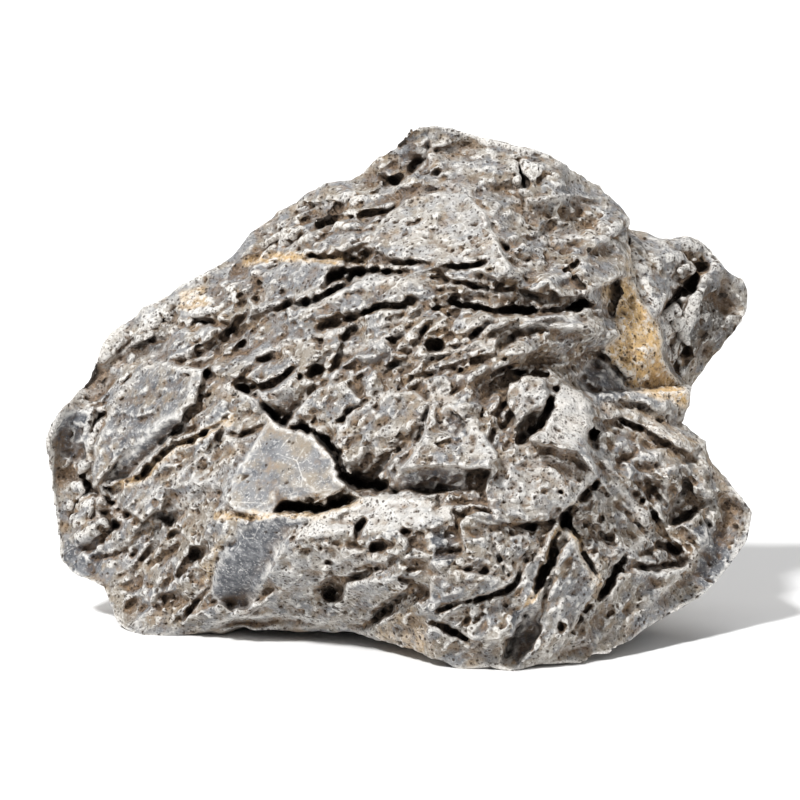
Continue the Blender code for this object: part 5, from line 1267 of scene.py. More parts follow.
def cells(points, run, size, stretch, seed):
    """Squared distance to the nearest seed of a jittered lattice, in cell sizes, short along the run."""
    keys, gaps = [], []
    for column, factor in zip(points.T, KEY_FACTORS):
        scaled = column / size
        corner = np.floor(scaled).astype(np.int64)
        keys.append([(corner + step) * factor for step in (-1, 0, 1)])
        gaps.append([corner + step + 0.5 - scaled for step in (-1, 0, 1)])
    run = np.ascontiguousarray(run.T)
    nearest = np.full(len(points), 9.0)
    for cell in np.ndindex(3, 3, 3):
        key = keys[0][cell[0]] ^ keys[1][cell[1]] ^ keys[2][cell[2]]
        x, y, z = (gaps[axis][cell[axis]] + SEED_JITTER * lattice(key, seed * 3 + axis) for axis in range(3))
        along = x * run[0] + y * run[1] + z * run[2]
        nearest = np.minimum(nearest, x * x + y * y + z * z - (1 - 1 / stretch ** 2) * along ** 2)
    return nearest


rise = np.zeros(len(points))
for size, stretch, depth, seed in SCALLOPS + COMB:
    sway = SCALLOP_SWAY[0] * size * noise(points / (SCALLOP_SWAY[1] * size), seed)
    bowls = cells(points + sway[:, None], run, size, stretch, seed)
    patchy = smooth(-0.6, 0.3, noise(points / (SCALLOP_PATCH * size), seed + 7))
    part = comb if (size, stretch, depth, seed) in COMB else patchy * (1 - comb)
    rise += depth * part * (np.minimum(bowls, 1.0) - SCALLOP_LEVEL)
for size, height, seed in CRUMBS:
    rise += height * (CRUMB_LEVEL - np.abs(noise(points / size, seed)))
clear = smooth(*SCALLOPS_CLEAR, points[:, 2])
points = points + normals * (rise * weathered * clear * sturdy)[:, None]
set_points(stone.data, points * MM)
print("scallops from", round(float(rise.min()), 2), "to", round(float(rise.max()), 2), "mm")

# %% [markdown]
# ## Pits
# Pits of one to three millimetres lie in the weathered skin, most of them in its hollows. Their places come
# from one seeded draw, and a pit that would touch an older one is dropped. Their outlines wander, and they
# are longer along the grain.

# %% Places of the pits
PIT_DRAWS = 4200
PIT_RADII = (0.5, 1.15)     # in millimetres
PIT_DEPTH = 1.1             # share of the radius
PIT_LENGTH = 1.6            # how much longer than wide
PIT_SEED = 7
PIT_WANDER = (0.75, 0.9, 56)    # its outline's wander, as a share of the radius, its length and its seed
PIT_PATCH = (9, 55)         # size of the patches that have pits, seed
PITS_CLEAR = (2.0, 6.0)     # heights over the ground over which they begin
PIT_PROUD = 0.15            # chance of a pit on the proud skin, against one in the hollows

rng = np.random.default_rng(PIT_SEED)
normals = mesh_normals(stone.data)
pitted = weathered * smooth(*PITS_CLEAR, points[:, 2])
pitted = pitted * smooth(-0.5, 0.5, noise(points / PIT_PATCH[0], PIT_PATCH[1]))
pitted *= PIT_PROUD + smooth(0.3, -0.4, rise)
drawn = rng.choice(len(points), size=PIT_DRAWS, replace=False, p=pitted / pitted.sum())
radii = PIT_RADII[0] + (PIT_RADII[1] - PIT_RADII[0]) * rng.random(PIT_DRAWS) ** 3
wander = 1 + PIT_WANDER[0] * noise(points / PIT_WANDER[1], PIT_WANDER[2])
near_pits = kdtree.KDTree(len(points))
for index, point in enumerate(points):
    near_pits.insert(point, index)
near_pits.balance()
print(PIT_DRAWS, "places drawn")

# %% Sink the pits
pit_depth, pit_mask = np.zeros(len(points)), np.zeros(len(points))
taken = np.zeros(len(points), bool)
made = 0
for index, radius in zip(drawn, radii):
    found = np.array([hit[1] for hit in near_pits.find_range(points[index], radius * PIT_LENGTH * 1.5)])
    found = found[normals[found] @ normals[index] > 0.2]
    gap = points[found] - points[index]
    along = gap @ run[index]
    square = (gap * gap).sum(1) - (1 - 1 / PIT_LENGTH ** 2) * along ** 2
    share = np.sqrt(np.maximum(square, 0)) / radius * wander[found]
    inner = found[share < 0.9]
    if taken[inner].any():
        continue
    taken[inner] = True
    bowl = 1 - smooth(0.1, 1.1, share)
    pit_depth[found] += PIT_DEPTH * radius * bowl
    pit_mask[found] = np.maximum(pit_mask[found], bowl)
    made += 1
points = points - normals * (pit_depth * sturdy)[:, None]
set_points(stone.data, points * MM)
print(made, "pits")

# %% [markdown]
# ## Crests and hollows, measured
# The finish has to know where the skin is a sharp crest and where it lies in a hollow. A copy of the points
# is smoothed step by step: where the skin stands proud of its own smoothed copy it is a crest, and where it
# lies behind it is a hollow. A short smoothing finds thin ridges, a long one finds crevices.

# %% Measure crests and hollows
RIDGE_STEPS = 5
HOLLOW_STEPS = 60


def smoothed(mesh, points, steps):
    """The points after each has moved to the middle of its neighbours, so many times."""
    edges = np.empty(len(mesh.edges) * 2, np.int32)
    mesh.edges.foreach_get("vertices", edges)
    a, b = (np.ascontiguousarray(end, dtype=np.intp) for end in edges.reshape(-1, 2).T)
    count = np.bincount(a, minlength=len(points)) + np.bincount(b, minlength=len(points))
    columns = []
    for column in points.T:
        column = np.ascontiguousarray(column)
        for _ in range(steps):
            column = (np.bincount(a, column[b], len(count)) + np.bincount(b, column[a], len(count))) / count
        columns.append(column)
    return np.column_stack(columns)


def store(mesh, name, values):
    attribute = mesh.attributes.new(name, "FLOAT", "POINT")
    attribute.data.foreach_set("value", values.astype(np.float32))


normals = mesh_normals(stone.data)
near_copy = smoothed(stone.data, points, RIDGE_STEPS)
far_copy = smoothed(stone.data, near_copy, HOLLOW_STEPS)
ridge = ((points - near_copy) * normals).sum(1)
store(stone.data, "ridge", ridge)
store(stone.data, "hollow", ((far_copy - points) * normals).sum(1))
store(stone.data, "pit", pit_mask)
print("ridges up to", round(float(ridge.max()), 2), "mm")

# %% [markdown]
# ## Thinning
# The skin has far more faces than a viewer needs on flat plates. Collapsing edges keeps them where the
# surface bends. The front, which the photograph shows, keeps more of them than the hidden sides.

# %% Thinning
TRIANGLES = 195000
SPARE_BACK = 1e-5           # cost that keeps the front's faces, against the error of each collapse
FOOT = (8.0, 3.0)           # heights over the ground over which the skin counts as hidden
LEVELS = 10                 # steps from seen to hidden

spare = stone.vertex_groups.new(name="spare")
hidden_share = np.maximum(1 - facing, smooth(*FOOT, points[:, 2]))
for level in range(1, LEVELS + 1):
    chosen = np.nonzero(np.ceil(hidden_share * (LEVELS - 1) + 0.5).astype(int) == level)[0]
    spare.add(chosen.tolist(), level / LEVELS, "REPLACE")
apply_modifier(
    stone, "DECIMATE", decimate_type="COLLAPSE", ratio=TRIANGLES / (2 * len(stone.data.polygons)),
    vertex_group="spare", vertex_group_factor=SPARE_BACK,
)
stone.vertex_groups.clear()
print("thinned to", sum(len(p.vertices) - 2 for p in stone.data.polygons), "triangles")

# %% [markdown]
# ## The ground cuts the rest spots flat
# A bisect at ground level takes away what lies below it, and each of the three openings is closed by one flat
# face. Then the stone moves to the middle of its box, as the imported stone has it.

# %% Cut at the ground
stone.data.transform(Matrix.Translation((-ORIGIN[0] * MM, -ORIGIN[1] * MM, 0)))
skin = bmesh.new()
skin.from_mesh(stone.data)
whole = skin.verts[:] + skin.edges[:] + skin.faces[:]
bmesh.ops.bisect_plane(skin, geom=whole, plane_co=(0, 0, 0), plane_no=(0, 0, -1), clear_outer=True)
rims = [edge for edge in skin.edges if edge.is_boundary]
bmesh.ops.holes_fill(skin, edges=rims)
bmesh.ops.triangulate(skin, faces=[face for face in skin.faces if len(face.verts) > 4])
bmesh.ops.recalc_face_normals(skin, faces=skin.faces)
skin.to_mesh(stone.data)
skin.free()
print("open edges closed at the ground:", len(rims))

# %% [markdown]
# ## How open each point lies
# The finish paints shade, with some earth and stain, where light doesn't reach. A fan of rays leaves each
# point, and the share that gets away says how open it lies.

# %% Openness
RAY_COUNT = 14
RAY_REACH = 14.0            # in millimetres
RAY_LIFT = 0.12             # how far over the skin a ray starts
FAN_SPREAD = 0.95           # how close to the skin the lowest rays go: 1 is along it


def openness(mesh):
    tree = BVHTree.FromPolygons([v.co for v in mesh.vertices], [p.vertices for p in mesh.polygons])
    golden = math.pi * (3 - math.sqrt(5))
    fan = []
    for index in range(RAY_COUNT):
        up = 1 - (index + 0.5) / RAY_COUNT * FAN_SPREAD
        ring = math.sqrt(1 - up * up)
        fan.append((ring * math.cos(golden * index), ring * math.sin(golden * index), up))
    values = np.empty(len(mesh.vertices))
    for index, (vertex, normal) in enumerate(zip(mesh.vertices, mesh.vertex_normals)):
        turn = normal.vector.to_track_quat("Z", "Y")
        start = vertex.co + normal.vector * (RAY_LIFT * MM)
        free = sum(tree.ray_cast(start, turn @ Vector(ray), RAY_REACH * MM)[0] is None for ray in fan)
        values[index] = free / RAY_COUNT
    return values


open_share = openness(stone.data)
store(stone.data, "open", open_share)
print("open share: mean", round(float(open_share.mean()), 2), "least", round(float(open_share.min()), 2))

# %% [markdown]
# ## Where the colours are
# Most of the stone is weathered pale grey. Some plates broke later and show the dark blue-grey rock inside;
# some crests are nearly white with calcite; iron has stained others ochre and tan. Some zones are painted
# light and shade: the same dark rock lies as painted shade on faces that look down, cream as a painted
# highlight on faces that look up, and dark grey as painted shade in some hollows. These zones are outlines
# in the picture, with a strength each, and their edges wander like every edge of the stone. The hidden sides
# get such zones from noise.

# %% Outlines of the colours
FRESH_AND_SHADE_ZONES = [
    # Besides fresh rock, these zones lay the same dark colour as painted shade on faces that look down or lie
    # in shade: the lens's lower facet, the strip under the fin, the recess, the wall at the left tip and the
    # undercut at the lower left.
    (0.9, FRESH_FACE),
    (0.9, LENS_FACET),
    (0.8, path(591, 600, 605, 598, 607, 612, 600, 619, 592, 616)),
    (0.8, path(600, 531, 607, 529, 613, 540, 606, 546, 599, 541)),
    (0.8, path(574, 566, 590, 562, 612, 563, 611, 572, 590, 575, 576, 574)),
    (0.9, path(640, 645, 652, 640, 656, 650, 650, 668, 642, 678, 636, 668)),
    (0.7, path(745, 598, 756, 590, 764, 602, 770, 616, 758, 632, 744, 628, 752, 612)),
    (0.8, path(676, 510, 682.5, 501, 687.5, 497.5, 693, 498, 699, 505, 705, 511, 705, 518, 697, 521,
      687, 520)),
    (0.6, path(366, 530, 378, 526, 391, 527, 390, 545, 386, 559, 372, 556)),
    (0.5, path(374, 604, 396, 600, 398, 622, 384, 628, 372, 618)),
    (0.5, path(590, 634, 597, 632, 598, 645, 591, 646)),
    (0.35, path(391, 571, 391, 546, 401, 531, 421, 500, 458, 502, 441, 529, 409, 554)),
    (0.3, path(479, 557, 496, 533, 522, 540, 538, 567, 522, 577, 487, 590, 469, 578)),
    (0.4, path(735, 424, 752, 424, 750, 431, 735, 431)),
    (0.4, path(573, 384, 570, 366, 592, 360, 590, 372, 582, 384)),
    (0.35, SMALL_LENS),
]
PALE_AND_HIGHLIGHT_ZONES = [
    # Besides calcite, these zones lighten faces that look up into the light, the knob, the top of the nose,
    # the fin and the lit facets at the top, as a painted highlight.
    (0.9, path(655, 529, 664, 519, 668, 511, 677, 515, 684, 523, 684, 540, 676, 548, 656, 545)),
    (0.7, path(521, 589, 552, 578, 596, 579, 606, 590, 566, 597, 525, 603, 505, 603)),
    (0.5, path(637, 513, 649, 506, 656, 510, 659, 520, 647, 543, 640, 531)),
    (0.5, path(590, 509, 601, 517, 621, 541, 631, 552, 628, 559, 612, 555, 598, 530)),
    (0.45, path(628, 560, 655, 548, 677, 552, 688, 567, 668, 590, 640, 592, 626, 576)),
    (0.4, path(601, 391, 617, 405, 638, 444, 600, 440, 568, 437, 562, 414)),
    (0.4, path(380, 520, 402, 486, 436, 461, 450, 462, 425, 480, 398, 510, 384, 528)),
    (0.35, path(500, 606, 566, 612, 560, 640, 519, 640, 500, 636)),
    (0.5, path(730, 455, 741, 460, 738, 490, 728, 480)),
]
OCHRE_ZONES = [
    (0.95, STAINED_WALL),
    (0.6, path(690, 452, 700, 450, 701, 462, 691, 464)),
    (0.5, path(705, 425, 712, 428, 713, 450, 706, 450)),
    (0.5, path(473.6, 598, 464, 617, 460, 629, 453, 630, 455, 615, 468, 600)),
    (0.5, path(440, 456, 460, 453, 462, 466, 442, 470)),
    (0.4, path(553, 660, 578, 640, 589, 650, 588, 672, 566, 668)),
    (0.35, path(690, 521, 722, 527, 752, 547, 735, 560, 700, 540)),
]
OCHRE_LINES = [
    path(404, 572, 422, 565, 436, 552, 447, 547, 473, 532),
    path(465, 590, 500, 590, 528, 588, 548, 580),
    path(676, 582, 666, 600, 655, 629, 640, 655),
    path(690, 629, 682, 615, 672, 592),
    path(689, 500, 700, 506, 712, 514, 728, 520),
    path(481, 440, 500, 436, 528, 438, 549, 440),
]
OCHRE_LINE_WIDTH = 5
# Painted shade: the hollow behind the pale rim at the left, the lobe's flank that faces away from the light,
# and a hole.
PAINTED_SHADE_ZONES = [
    (0.7, path(412, 483, 436, 480, 432, 492, 408, 500)),
    (0.6, path(735, 455, 752, 450, 775, 458, 768, 480, 750, 495, 738, 486)),
    (0.5, path(444, 606, 462, 604, 462, 620, 446, 620)),
]
print(len(FRESH_AND_SHADE_ZONES), "fresh,", len(PALE_AND_HIGHLIGHT_ZONES), "pale and", len(OCHRE_ZONES), "ochre zones")

# %% Store the zones
LINE_STRENGTH = 0.7         # how strong an ochre line is along its middle
ZONE_EDGE = 2.2             # softness of a zone's edge, in pixels
HIDDEN_ZONES = [            # name, size across, level of the noise, strength, seed
    ("fresh", 30.0, 0.25, 0.8, 301), ("pale_and_highlight", 14.0, 0.25, 0.5, 302), ("ochre", 26.0, 0.3, 0.7, 303),
]
SEEN_ZONES = [
    ("fresh", FRESH_AND_SHADE_ZONES, ()), ("pale_and_highlight", PALE_AND_HIGHLIGHT_ZONES, ()), ("ochre", OCHRE_ZONES, OCHRE_LINES),
    ("painted_shade", PAINTED_SHADE_ZONES, ()),
]
SMOOTH_ROCK = 0.85          # share of the fine roughness that flat plates lose


def zone_grid(zones, lines=()):
    grid = np.zeros(front.px.shape)
    for strength, outline in zones:
        edge = near_line(front.rough_px, front.rough_py, outline + outline[:1])[0]
        edge *= np.where(within(front.rough_px, front.rough_py, outline), 1, -1)
        grid = np.maximum(grid, strength * smooth(-ZONE_EDGE, ZONE_EDGE, edge))
    for line in lines:
        away = near_line(front.rough_px, front.rough_py, line)[0]
        grid = np.maximum(grid, LINE_STRENGTH * smooth(OCHRE_LINE_WIDTH, 1, away))
    return grid


points = mesh_points(stone.data) / MM + [*ORIGIN, 0]
px, py, depth = to_picture(points)
(lip, flatness, tone), facing = picture_values(points, ["lip", "flatness", "tone"])
hidden = dict.fromkeys(("fresh", "pale_and_highlight", "ochre", "painted_shade"), 0)
for name, size, level, strength, seed in HIDDEN_ZONES:
    patch = noise(points / size, seed) + 0.4 * noise(points / (size / 4), seed + 20)
    hidden[name] = strength * smooth(level, level + 0.3, patch)
hidden["fresh"] = hidden["fresh"] * smooth(0.5, 0.8, flatness)
for name, zones, lines in SEEN_ZONES:
    seen = front.read(zone_grid(zones, lines), px, py)
    store(stone.data, name, facing * seen + (1 - facing) * hidden[name])
# lip holds the pale lines along edges, crests and lower lips, partly painted highlight
store(stone.data, "lip", lip)
store(stone.data, "tone", tone)
store(stone.data, "rough", 1 - SMOOTH_ROCK * smooth(*FLAT_PLATE, flatness))
print("zones stored on", len(points), "points")

# %% [markdown]
# ## The finish
# One material holds the whole finish. It mixes its colours from the stored values: weathered grey with cool
# and warm patches, brown earth and painted shade in hollows and pits, cream on ridges that is partly a
# painted highlight, the dark fresh rock with its white flecks, which also lies as painted shade on some
# faces, and iron stain. Pits under a millimetre and the crystal grain are too small for the mesh, so they are
# colour and bump.

# %% Shader helpers
def add_node(tree, kind, inputs=(), **settings):
    """A shader node with its settings and with numbers, colours or other nodes' outputs at its inputs."""
    made = tree.nodes.new("ShaderNode" + kind)
    for name, value in settings.items():
        setattr(made, name, value)
    for name, value in dict(inputs).items():
        if isinstance(value, bpy.types.NodeSocket):
            tree.links.new(value, made.inputs[name])
        else:
            made.inputs[name].default_value = value
    return made


def stored(tree, name):
    return add_node(tree, "Attribute", attribute_name=name).outputs["Fac"]


def span(tree, value, low, high, to_low=0.0, to_high=1.0):
    """Carries a value from one range to another, held at both ends."""
    inputs = {"Value": value, "From Min": low, "From Max": high, "To Min": to_low, "To Max": to_high}
    return add_node(tree, "MapRange", inputs, clamp=True).outputs["Result"]


def maths(tree, operation, a, b=0.0):
    return add_node(tree, "Math", {0: a, 1: b}, operation=operation, use_clamp=False).outputs[0]


def mix(tree, share, a, b):
    inputs = {0: share, 6: a, 7: b}
    return add_node(tree, "Mix", inputs, data_type="RGBA", clamp_factor=True).outputs[2]


def grain_noise(tree, place, size, roughness=0.7):
    """Noise whose lumps are about size millimetres across."""
    inputs = {"Vector": place, "Scale": 1 / (size * MM), "Detail": 4.0, "Roughness": roughness}
    return add_node(tree, "TexNoise", inputs).outputs["Fac"]


# %% [markdown]
# ## Small pits as a group
# The small pits are cells whose middle sinks when the cell's own random number says so. The group is built
# once, and the finish uses it at two sizes.

# %% Pit group
def make_pit_group():
    group = bpy.data.node_groups.new("small_pits", "ShaderNodeTree")
    for name, kind, value in (
        ("Place", "NodeSocketVector", None), ("Scale", "NodeSocketFloat", 800.0),
        ("Amount", "NodeSocketFloat", 0.5), ("Width", "NodeSocketFloat", 0.35),
    ):
        socket = group.interface.new_socket(name, in_out="INPUT", socket_type=kind)
        if value is not None:
            socket.default_value = value
    group.interface.new_socket("Pit", in_out="OUTPUT", socket_type="NodeSocketFloat")
    start = group.nodes.new("NodeGroupInput").outputs
    cell = add_node(group, "TexVoronoi", {"Vector": start["Place"], "Scale": start["Scale"]})
    lucky = add_node(group, "SeparateColor", {"Color": cell.outputs["Color"]}).outputs["Red"]
    chosen = maths(group, "LESS_THAN", lucky, start["Amount"])
    edge = maths(group, "MULTIPLY", start["Width"], 0.45)
    inputs = {"Value": cell.outputs["Distance"], "From Min": start["Width"], "From Max": edge}
    bowl = add_node(group, "MapRange", inputs, interpolation_type="SMOOTHSTEP").outputs["Result"]
    pit = maths(group, "MULTIPLY", bowl, chosen)
    end = group.nodes.new("NodeGroupOutput")
    group.links.new(pit, end.inputs["Pit"])
    return group


PIT_GROUP = make_pit_group()


def small_pits(tree, place, size, amount, width):
    """The group's pits in this tree, in cells of size millimetres."""
    inputs = {"Place": place, "Scale": 1 / (size * MM), "Amount": amount, "Width": width}
    return add_node(tree, "Group", inputs, node_tree=PIT_GROUP).outputs["Pit"]


print("group", PIT_GROUP.name, "of", len(PIT_GROUP.nodes), "nodes")

# %% [markdown]
# ## The limestone's colours and shared noises
# Colours are linear values. Four noises, from under a millimetre to eight millimetres across, are made once
# and shared by every step, because noise is what a renderer spends most time on. Every noise is read at a
# place that sways a little, so that no mark has a straight edge.

# %% Limestone colours
WARM_GREY = (0.30, 0.26, 0.21, 1)
COOL_GREY = (0.225, 0.23, 0.24, 1)
LIGHT_GREY = (0.42, 0.395, 0.365, 1)
# calcite cream, also the colour of painted highlights
CREAM_AND_HIGHLIGHT = (0.83, 0.805, 0.765, 1)
TAN = (0.33, 0.20, 0.095, 1)
OCHRE = (0.74, 0.49, 0.21, 1)
PIT_BROWN = (0.045, 0.026, 0.013, 1)
DEEPEST_SHADE = (0.016, 0.010, 0.006, 1)
EARTH_AND_SHADE_BROWN = (0.13, 0.075, 0.036, 1)
FRESH_AND_SHADE_BLUE = (0.075, 0.08, 0.092, 1)
FLECK_WHITE = (0.50, 0.51, 0.53, 1)
# the colour of the painted shade in shaded zones
PAINTED_SHADE_GREY = (0.10, 0.095, 0.09, 1)
SWAY = (3.0, 0.3)           # length and distance in millimetres by which every pattern sways
VEIN_WEB = 14.0             # size in millimetres of the rock between the veins


class Rock:
    """The limestone's node tree, with the noises and stored values that every step reads."""

    def __init__(self, material):
        self.tree = tree = material.node_tree
        place = add_node(tree, "TexCoord").outputs["Object"]
        inputs = {"Vector": place, "Scale": 1 / (SWAY[0] * MM), "Detail": 2.0}
        sway = add_node(tree, "TexNoise", inputs).outputs["Color"]
        sway = add_node(tree, "VectorMath", {0: sway, 1: (0.5, 0.5, 0.5)}, operation="SUBTRACT").outputs[0]
        sway = add_node(tree, "VectorMath", {0: sway, "Scale": SWAY[1] * MM}, operation="SCALE").outputs[0]
        self.place = add_node(tree, "VectorMath", {0: place, 1: sway}, operation="ADD").outputs[0]
        self.fine = grain_noise(tree, self.place, 0.9)
        self.small = grain_noise(tree, self.place, 2.3)
        self.medium = grain_noise(tree, self.place, 4.5)
        self.broad = grain_noise(tree, self.place, 8, 0.65)
        self.open = stored(tree, "open")
        # fresh rock, and painted shade on faces that lie in shade
        self.fresh = self.zone("fresh", 0.2, 0.25, 0.5)
        rough = maths(tree, "SUBTRACT", 1.0, self.fresh)
        self.rough = maths(tree, "MULTIPLY", stored(tree, "rough"), rough)

    def zone(self, name, wander, low, high):
        """A stored zone with an edge that wanders over some millimetres."""
        edge = span(self.tree, self.medium, 0.3, 0.7, -wander, wander)
        return span(self.tree, maths(self.tree, "ADD", stored(self.tree, name), edge), low, high)

    def where(self, value, low, high, other=None, to_low=0.0, to_high=1.0):
        """A share from a value's range, times another share if there is one."""
        share = span(self.tree, value, low, high, to_low, to_high)
        return share if other is None else maths(self.tree, "MULTIPLY", share, other)

    def cover(self, colour, share, strength, over):
        return mix(self.tree, maths(self.tree, "MULTIPLY", share, strength), colour, over)


# %% [markdown]
# ## Weathered rock, its stains, the fresh rock, and painted light and shade
# Each shard's tone decides whether it is warm or cool grey. Lighter grey and tan lie over that in broad
# patches, cream on the pale zones, partly as a painted highlight, and tan again where the rock is half shut
# in, as painted shade with the tint of iron stain. Fresh breaks, and as painted shade some faces that lie in
# shade, are covered with dark blue-grey rock that has small white flecks. Dark grey is painted shade over
# the dark zones.

# %% Weathered and fresh rock
def weathered_colour(rock):
    tree = rock.tree
    tone = maths(tree, "ADD", stored(tree, "tone"), span(tree, rock.medium, 0.3, 0.7, -0.5, 0.5))
    colour = mix(tree, span(tree, tone, -0.5, 0.4), WARM_GREY, COOL_GREY)
    colour = rock.cover(colour, rock.where(rock.broad, 0.48, 0.64), 0.4, LIGHT_GREY)
    colour = rock.cover(colour, rock.where(rock.broad, 0.47, 0.36), 0.35, TAN)
    # Cream on the pale zones, partly calcite and partly a painted highlight.
    colour = rock.cover(colour, rock.zone("pale_and_highlight", 0.25, 0.2, 0.8), 0.7, CREAM_AND_HIGHLIGHT)
    # Painted shade with the tint of iron stain: tan where the rock is half shut in.
    half_shut_shade = rock.where(rock.open, 0.75, 0.5, span(tree, rock.small, 0.53, 0.43))
    colour = rock.cover(colour, half_shut_shade, 0.65, TAN)
    ochre = mix(tree, span(tree, rock.small, 0.32, 0.5), TAN, OCHRE)
    ochre = rock.cover(ochre, rock.where(rock.medium, 0.5, 0.64), 0.6, CREAM_AND_HIGHLIGHT)
    colour = rock.cover(colour, rock.zone("ochre", 0.3, 0.25, 0.7), 0.85, ochre)
    # Painted shade: dark grey over the zones that lie in shade.
    return rock.cover(colour, rock.where(stored(tree, "painted_shade"), 0.1, 0.7), 0.8, PAINTED_SHADE_GREY)


# Dark blue-grey rock with white flecks: fresh breaks, and painted shade on shaded faces.
def fresh_colour(rock):
    colour = mix(rock.tree, span(rock.tree, rock.small, 0.42, 0.62), FRESH_AND_SHADE_BLUE, COOL_GREY)
    return rock.cover(colour, rock.where(rock.fine, 0.54, 0.66), 0.55, FLECK_WHITE)


# %% [markdown]
# ## Earth, calcite, pits, and painted light and shade
# Earth and painted shade darken the hollows. Over that the crests and the crevices' lower lips are pale,
# partly because they are rubbed and partly as a painted highlight, crystals get a painted glint where the
# rock lies open, and white veins cross it. Pits are nearly black with a brown rim, brown earth deepened by
# painted shade, and the least open places get the darkest painted shade of all, so these come last.

# %% Marks on the rock
def earth_and_shade_marks(rock, colour):
    # Earth and painted shade: brown where the rock lies in a hollow or is shut in.
    hollow = span(rock.tree, stored(rock.tree, "hollow"), 0.1, 0.9)
    shade_and_earth = maths(rock.tree, "MAXIMUM", span(rock.tree, rock.open, 0.66, 0.33), hollow)
    return rock.cover(colour, rock.where(rock.small, 0.34, 0.54, shade_and_earth), 0.88, EARTH_AND_SHADE_BROWN)


def pale_and_highlight_marks(rock, colour):
    tree = rock.tree
    # Crests and lips turn pale, partly rubbed calcite and partly a painted highlight.
    ridge = rock.where(rock.fine, 0.36, 0.54, span(tree, stored(tree, "ridge"), 0.07, 0.25), 0.3, 1.0)
    lip = rock.where(rock.small, 0.35, 0.55, stored(tree, "lip"))
    colour = rock.cover(colour, maths(tree, "MAXIMUM", ridge, lip), 0.85, CREAM_AND_HIGHLIGHT)
    # A painted glint: pale specks of crystal, kept to places that lie open to the light.
    crystal_glint = rock.where(rock.fine, 0.55, 0.63, span(tree, rock.broad, 0.35, 0.6))
    colour = rock.cover(colour, maths(tree, "MULTIPLY", crystal_glint, rock.open), 0.55, CREAM_AND_HIGHLIGHT)
    inputs = {"Vector": rock.place, "Scale": 1 / (VEIN_WEB * MM)}
    web = add_node(tree, "TexVoronoi", inputs, feature="DISTANCE_TO_EDGE").outputs["Distance"]
    vein = rock.where(web, 0.014, 0.004, span(tree, rock.broad, 0.48, 0.6))
    return rock.cover(colour, maths(tree, "MULTIPLY", vein, rock.open), 0.5, CREAM_AND_HIGHLIGHT)


def pit_marks(rock, colour):
    """The colour with all pits in it, and where the small ones are."""
    tree = rock.tree
    # Pits are brown earth, darkened toward black as painted shade.
    specks = rock.where(rock.fine, 0.46, 0.37, span(tree, rock.broad, 0.6, 0.4))
    colour = rock.cover(colour, maths(tree, "MULTIPLY", specks, rock.rough), 0.7, PIT_BROWN)
    colour = rock.cover(colour, rock.where(stored(tree, "pit"), 0.2, 0.75), 0.85, PIT_BROWN)
    amount = maths(tree, "MULTIPLY", rock.rough, span(tree, rock.medium, 0.35, 0.65, 0.1, 0.8))
    tiny = maths(tree, "MULTIPLY", small_pits(tree, rock.place, 0.9, amount, 0.36), 0.7)
    holes = maths(tree, "MAXIMUM", small_pits(tree, rock.place, 1.7, amount, 0.34), tiny)
    colour = rock.cover(colour, holes, 0.85, PIT_BROWN)
    # Painted shade: the least open places turn nearly black.
    return rock.cover(colour, rock.where(rock.open, 0.42, 0.12), 0.95, DEEPEST_SHADE), holes


# %% [markdown]
# ## The finished limestone
# The steps are laid over each other from the oldest to the youngest. The bump is the fine noise with the
# small pits sunk into it, four tenths of a millimetre high at most. Fresh rock is a little smoother.

# %% Limestone
BUMP_HEIGHT = 0.4           # in millimetres
PIT_BUMP = 1.2              # how deep the small pits go, against the fine noise
ROUGHNESS = (0.88, 0.55)    # of weathered and of fresh rock


def make_limestone():
    material = bpy.data.materials.new("limestone")
    material.use_nodes = True
    rock = Rock(material)
    tree, shader = rock.tree, rock.tree.nodes["Principled BSDF"]
    colour = mix(tree, rock.fresh, weathered_colour(rock), fresh_colour(rock))
    colour, holes = pit_marks(rock, pale_and_highlight_marks(rock, earth_and_shade_marks(rock, colour)))
    height = maths(tree, "MULTIPLY", rock.fine, span(tree, stored(tree, "rough"), 0, 1, 0.8, 1.8))
    height = maths(tree, "SUBTRACT", height, maths(tree, "MULTIPLY", holes, PIT_BUMP))
    bump = add_node(tree, "Bump", {"Strength": 1.0, "Distance": BUMP_HEIGHT * MM, "Height": height})
    tree.links.new(colour, shader.inputs["Base Color"])
    tree.links.new(bump.outputs["Normal"], shader.inputs["Normal"])
    tree.links.new(span(tree, rock.fresh, 0, 1, *ROUGHNESS), shader.inputs["Roughness"])
    shader.inputs["Specular IOR Level"].default_value = 0.4
    return material


stone.data.materials.clear()
stone.data.materials.append(make_limestone())
stone.data.set_sharp_from_angle(angle=math.radians(50))
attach(stone, "root")
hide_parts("stone")
print("the stone stands for the packed stone")

# %% [markdown]
# ## Floor, light and camera
# The stone stands on a plain pale floor in soft studio light: a large key from the upper left, a weaker fill
# from the right, a soft light from behind and a pale surround. The camera stands where the photograph was
# taken from, and its long lens keeps that photograph's flat perspective.

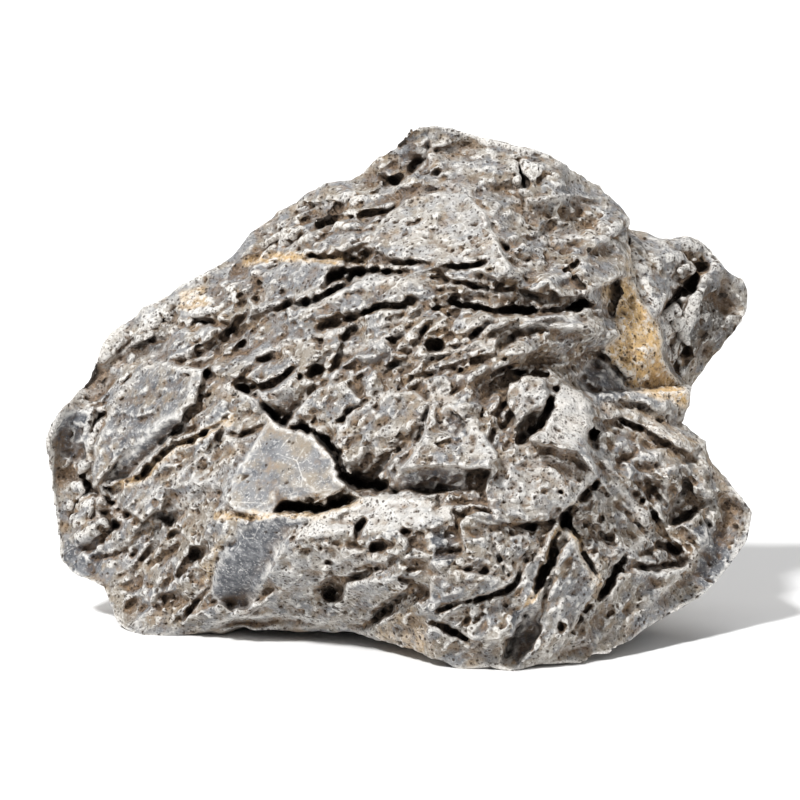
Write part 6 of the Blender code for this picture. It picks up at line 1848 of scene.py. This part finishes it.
# %% Floor
FLOOR_HALF = 6.0
floor_mesh = bpy.data.meshes.new("floor")
sheet = bmesh.new()
bmesh.ops.create_grid(sheet, x_segments=1, y_segments=1, size=FLOOR_HALF)
sheet.to_mesh(floor_mesh)
sheet.free()
floor = bpy.data.objects.new("floor", floor_mesh)
bpy.context.scene.collection.objects.link(floor)
floor_paint = bpy.data.materials.new("floor_paint")
floor_paint.use_nodes = True
paint = floor_paint.node_tree.nodes["Principled BSDF"].inputs
paint["Base Color"].default_value = (0.86, 0.86, 0.86, 1)
paint["Roughness"].default_value = 0.9
floor_mesh.materials.append(floor_paint)
print("floor", 2 * FLOOR_HALF, "metres across")

# %% Lights
LIGHTS = [                  # name, compass turn, tilt, strength, angle across in degrees
    ("key", -38, 50, 4.0, 8),
    ("fill", 55, 30, 0.35, 40),
    ("rear", 170, 55, 1.3, 40),
]
SURROUND = 0.28             # strength of the pale surround

for name, turn, tilt, strength, across in LIGHTS:
    lamp = bpy.data.lights.new(name, "SUN")
    lamp.energy = strength
    lamp.angle = math.radians(across)
    light = bpy.data.objects.new(name, lamp)
    light.rotation_euler = Vector(compass(turn, tilt)).to_track_quat("Z", "Y").to_euler()
    bpy.context.scene.collection.objects.link(light)

surround = bpy.data.worlds.new("surround")
surround.use_nodes = True
glow = surround.node_tree.nodes["Background"].inputs
glow["Color"].default_value = (1, 1, 1, 1)
glow["Strength"].default_value = SURROUND
bpy.context.scene.world = surround
bpy.context.scene.view_settings.view_transform = "Standard"
print(len(LIGHTS), "lights")

# %% Camera
VIEW_WIDTH = 236.0          # width of the view at the stone, in millimetres
VIEW_MIDDLE = (572.5, 521.0)
SENSOR = 36.0
FAR_ENOUGH = 30.0           # metres that the camera sees

camera = bpy.data.objects.new("camera", bpy.data.cameras.new("camera"))
camera.data.sensor_width = SENSOR
camera.data.lens = SENSOR * EYE_DISTANCE / VIEW_WIDTH
camera.data.clip_end = FAR_ENOUGH
middle = to_space(*np.array([[VIEW_MIDDLE[0]], [VIEW_MIDDLE[1]], [0.0]]))[0] - [*ORIGIN, 0]
camera.location = Vector((middle + TOWARD_EYE * EYE_DISTANCE) * MM)
camera.rotation_euler = Vector(TOWARD_EYE).to_track_quat("Z", "Y").to_euler()
bpy.context.scene.collection.objects.link(camera)
bpy.context.scene.camera = camera
print("camera lens", round(camera.data.lens, 1), "mm")
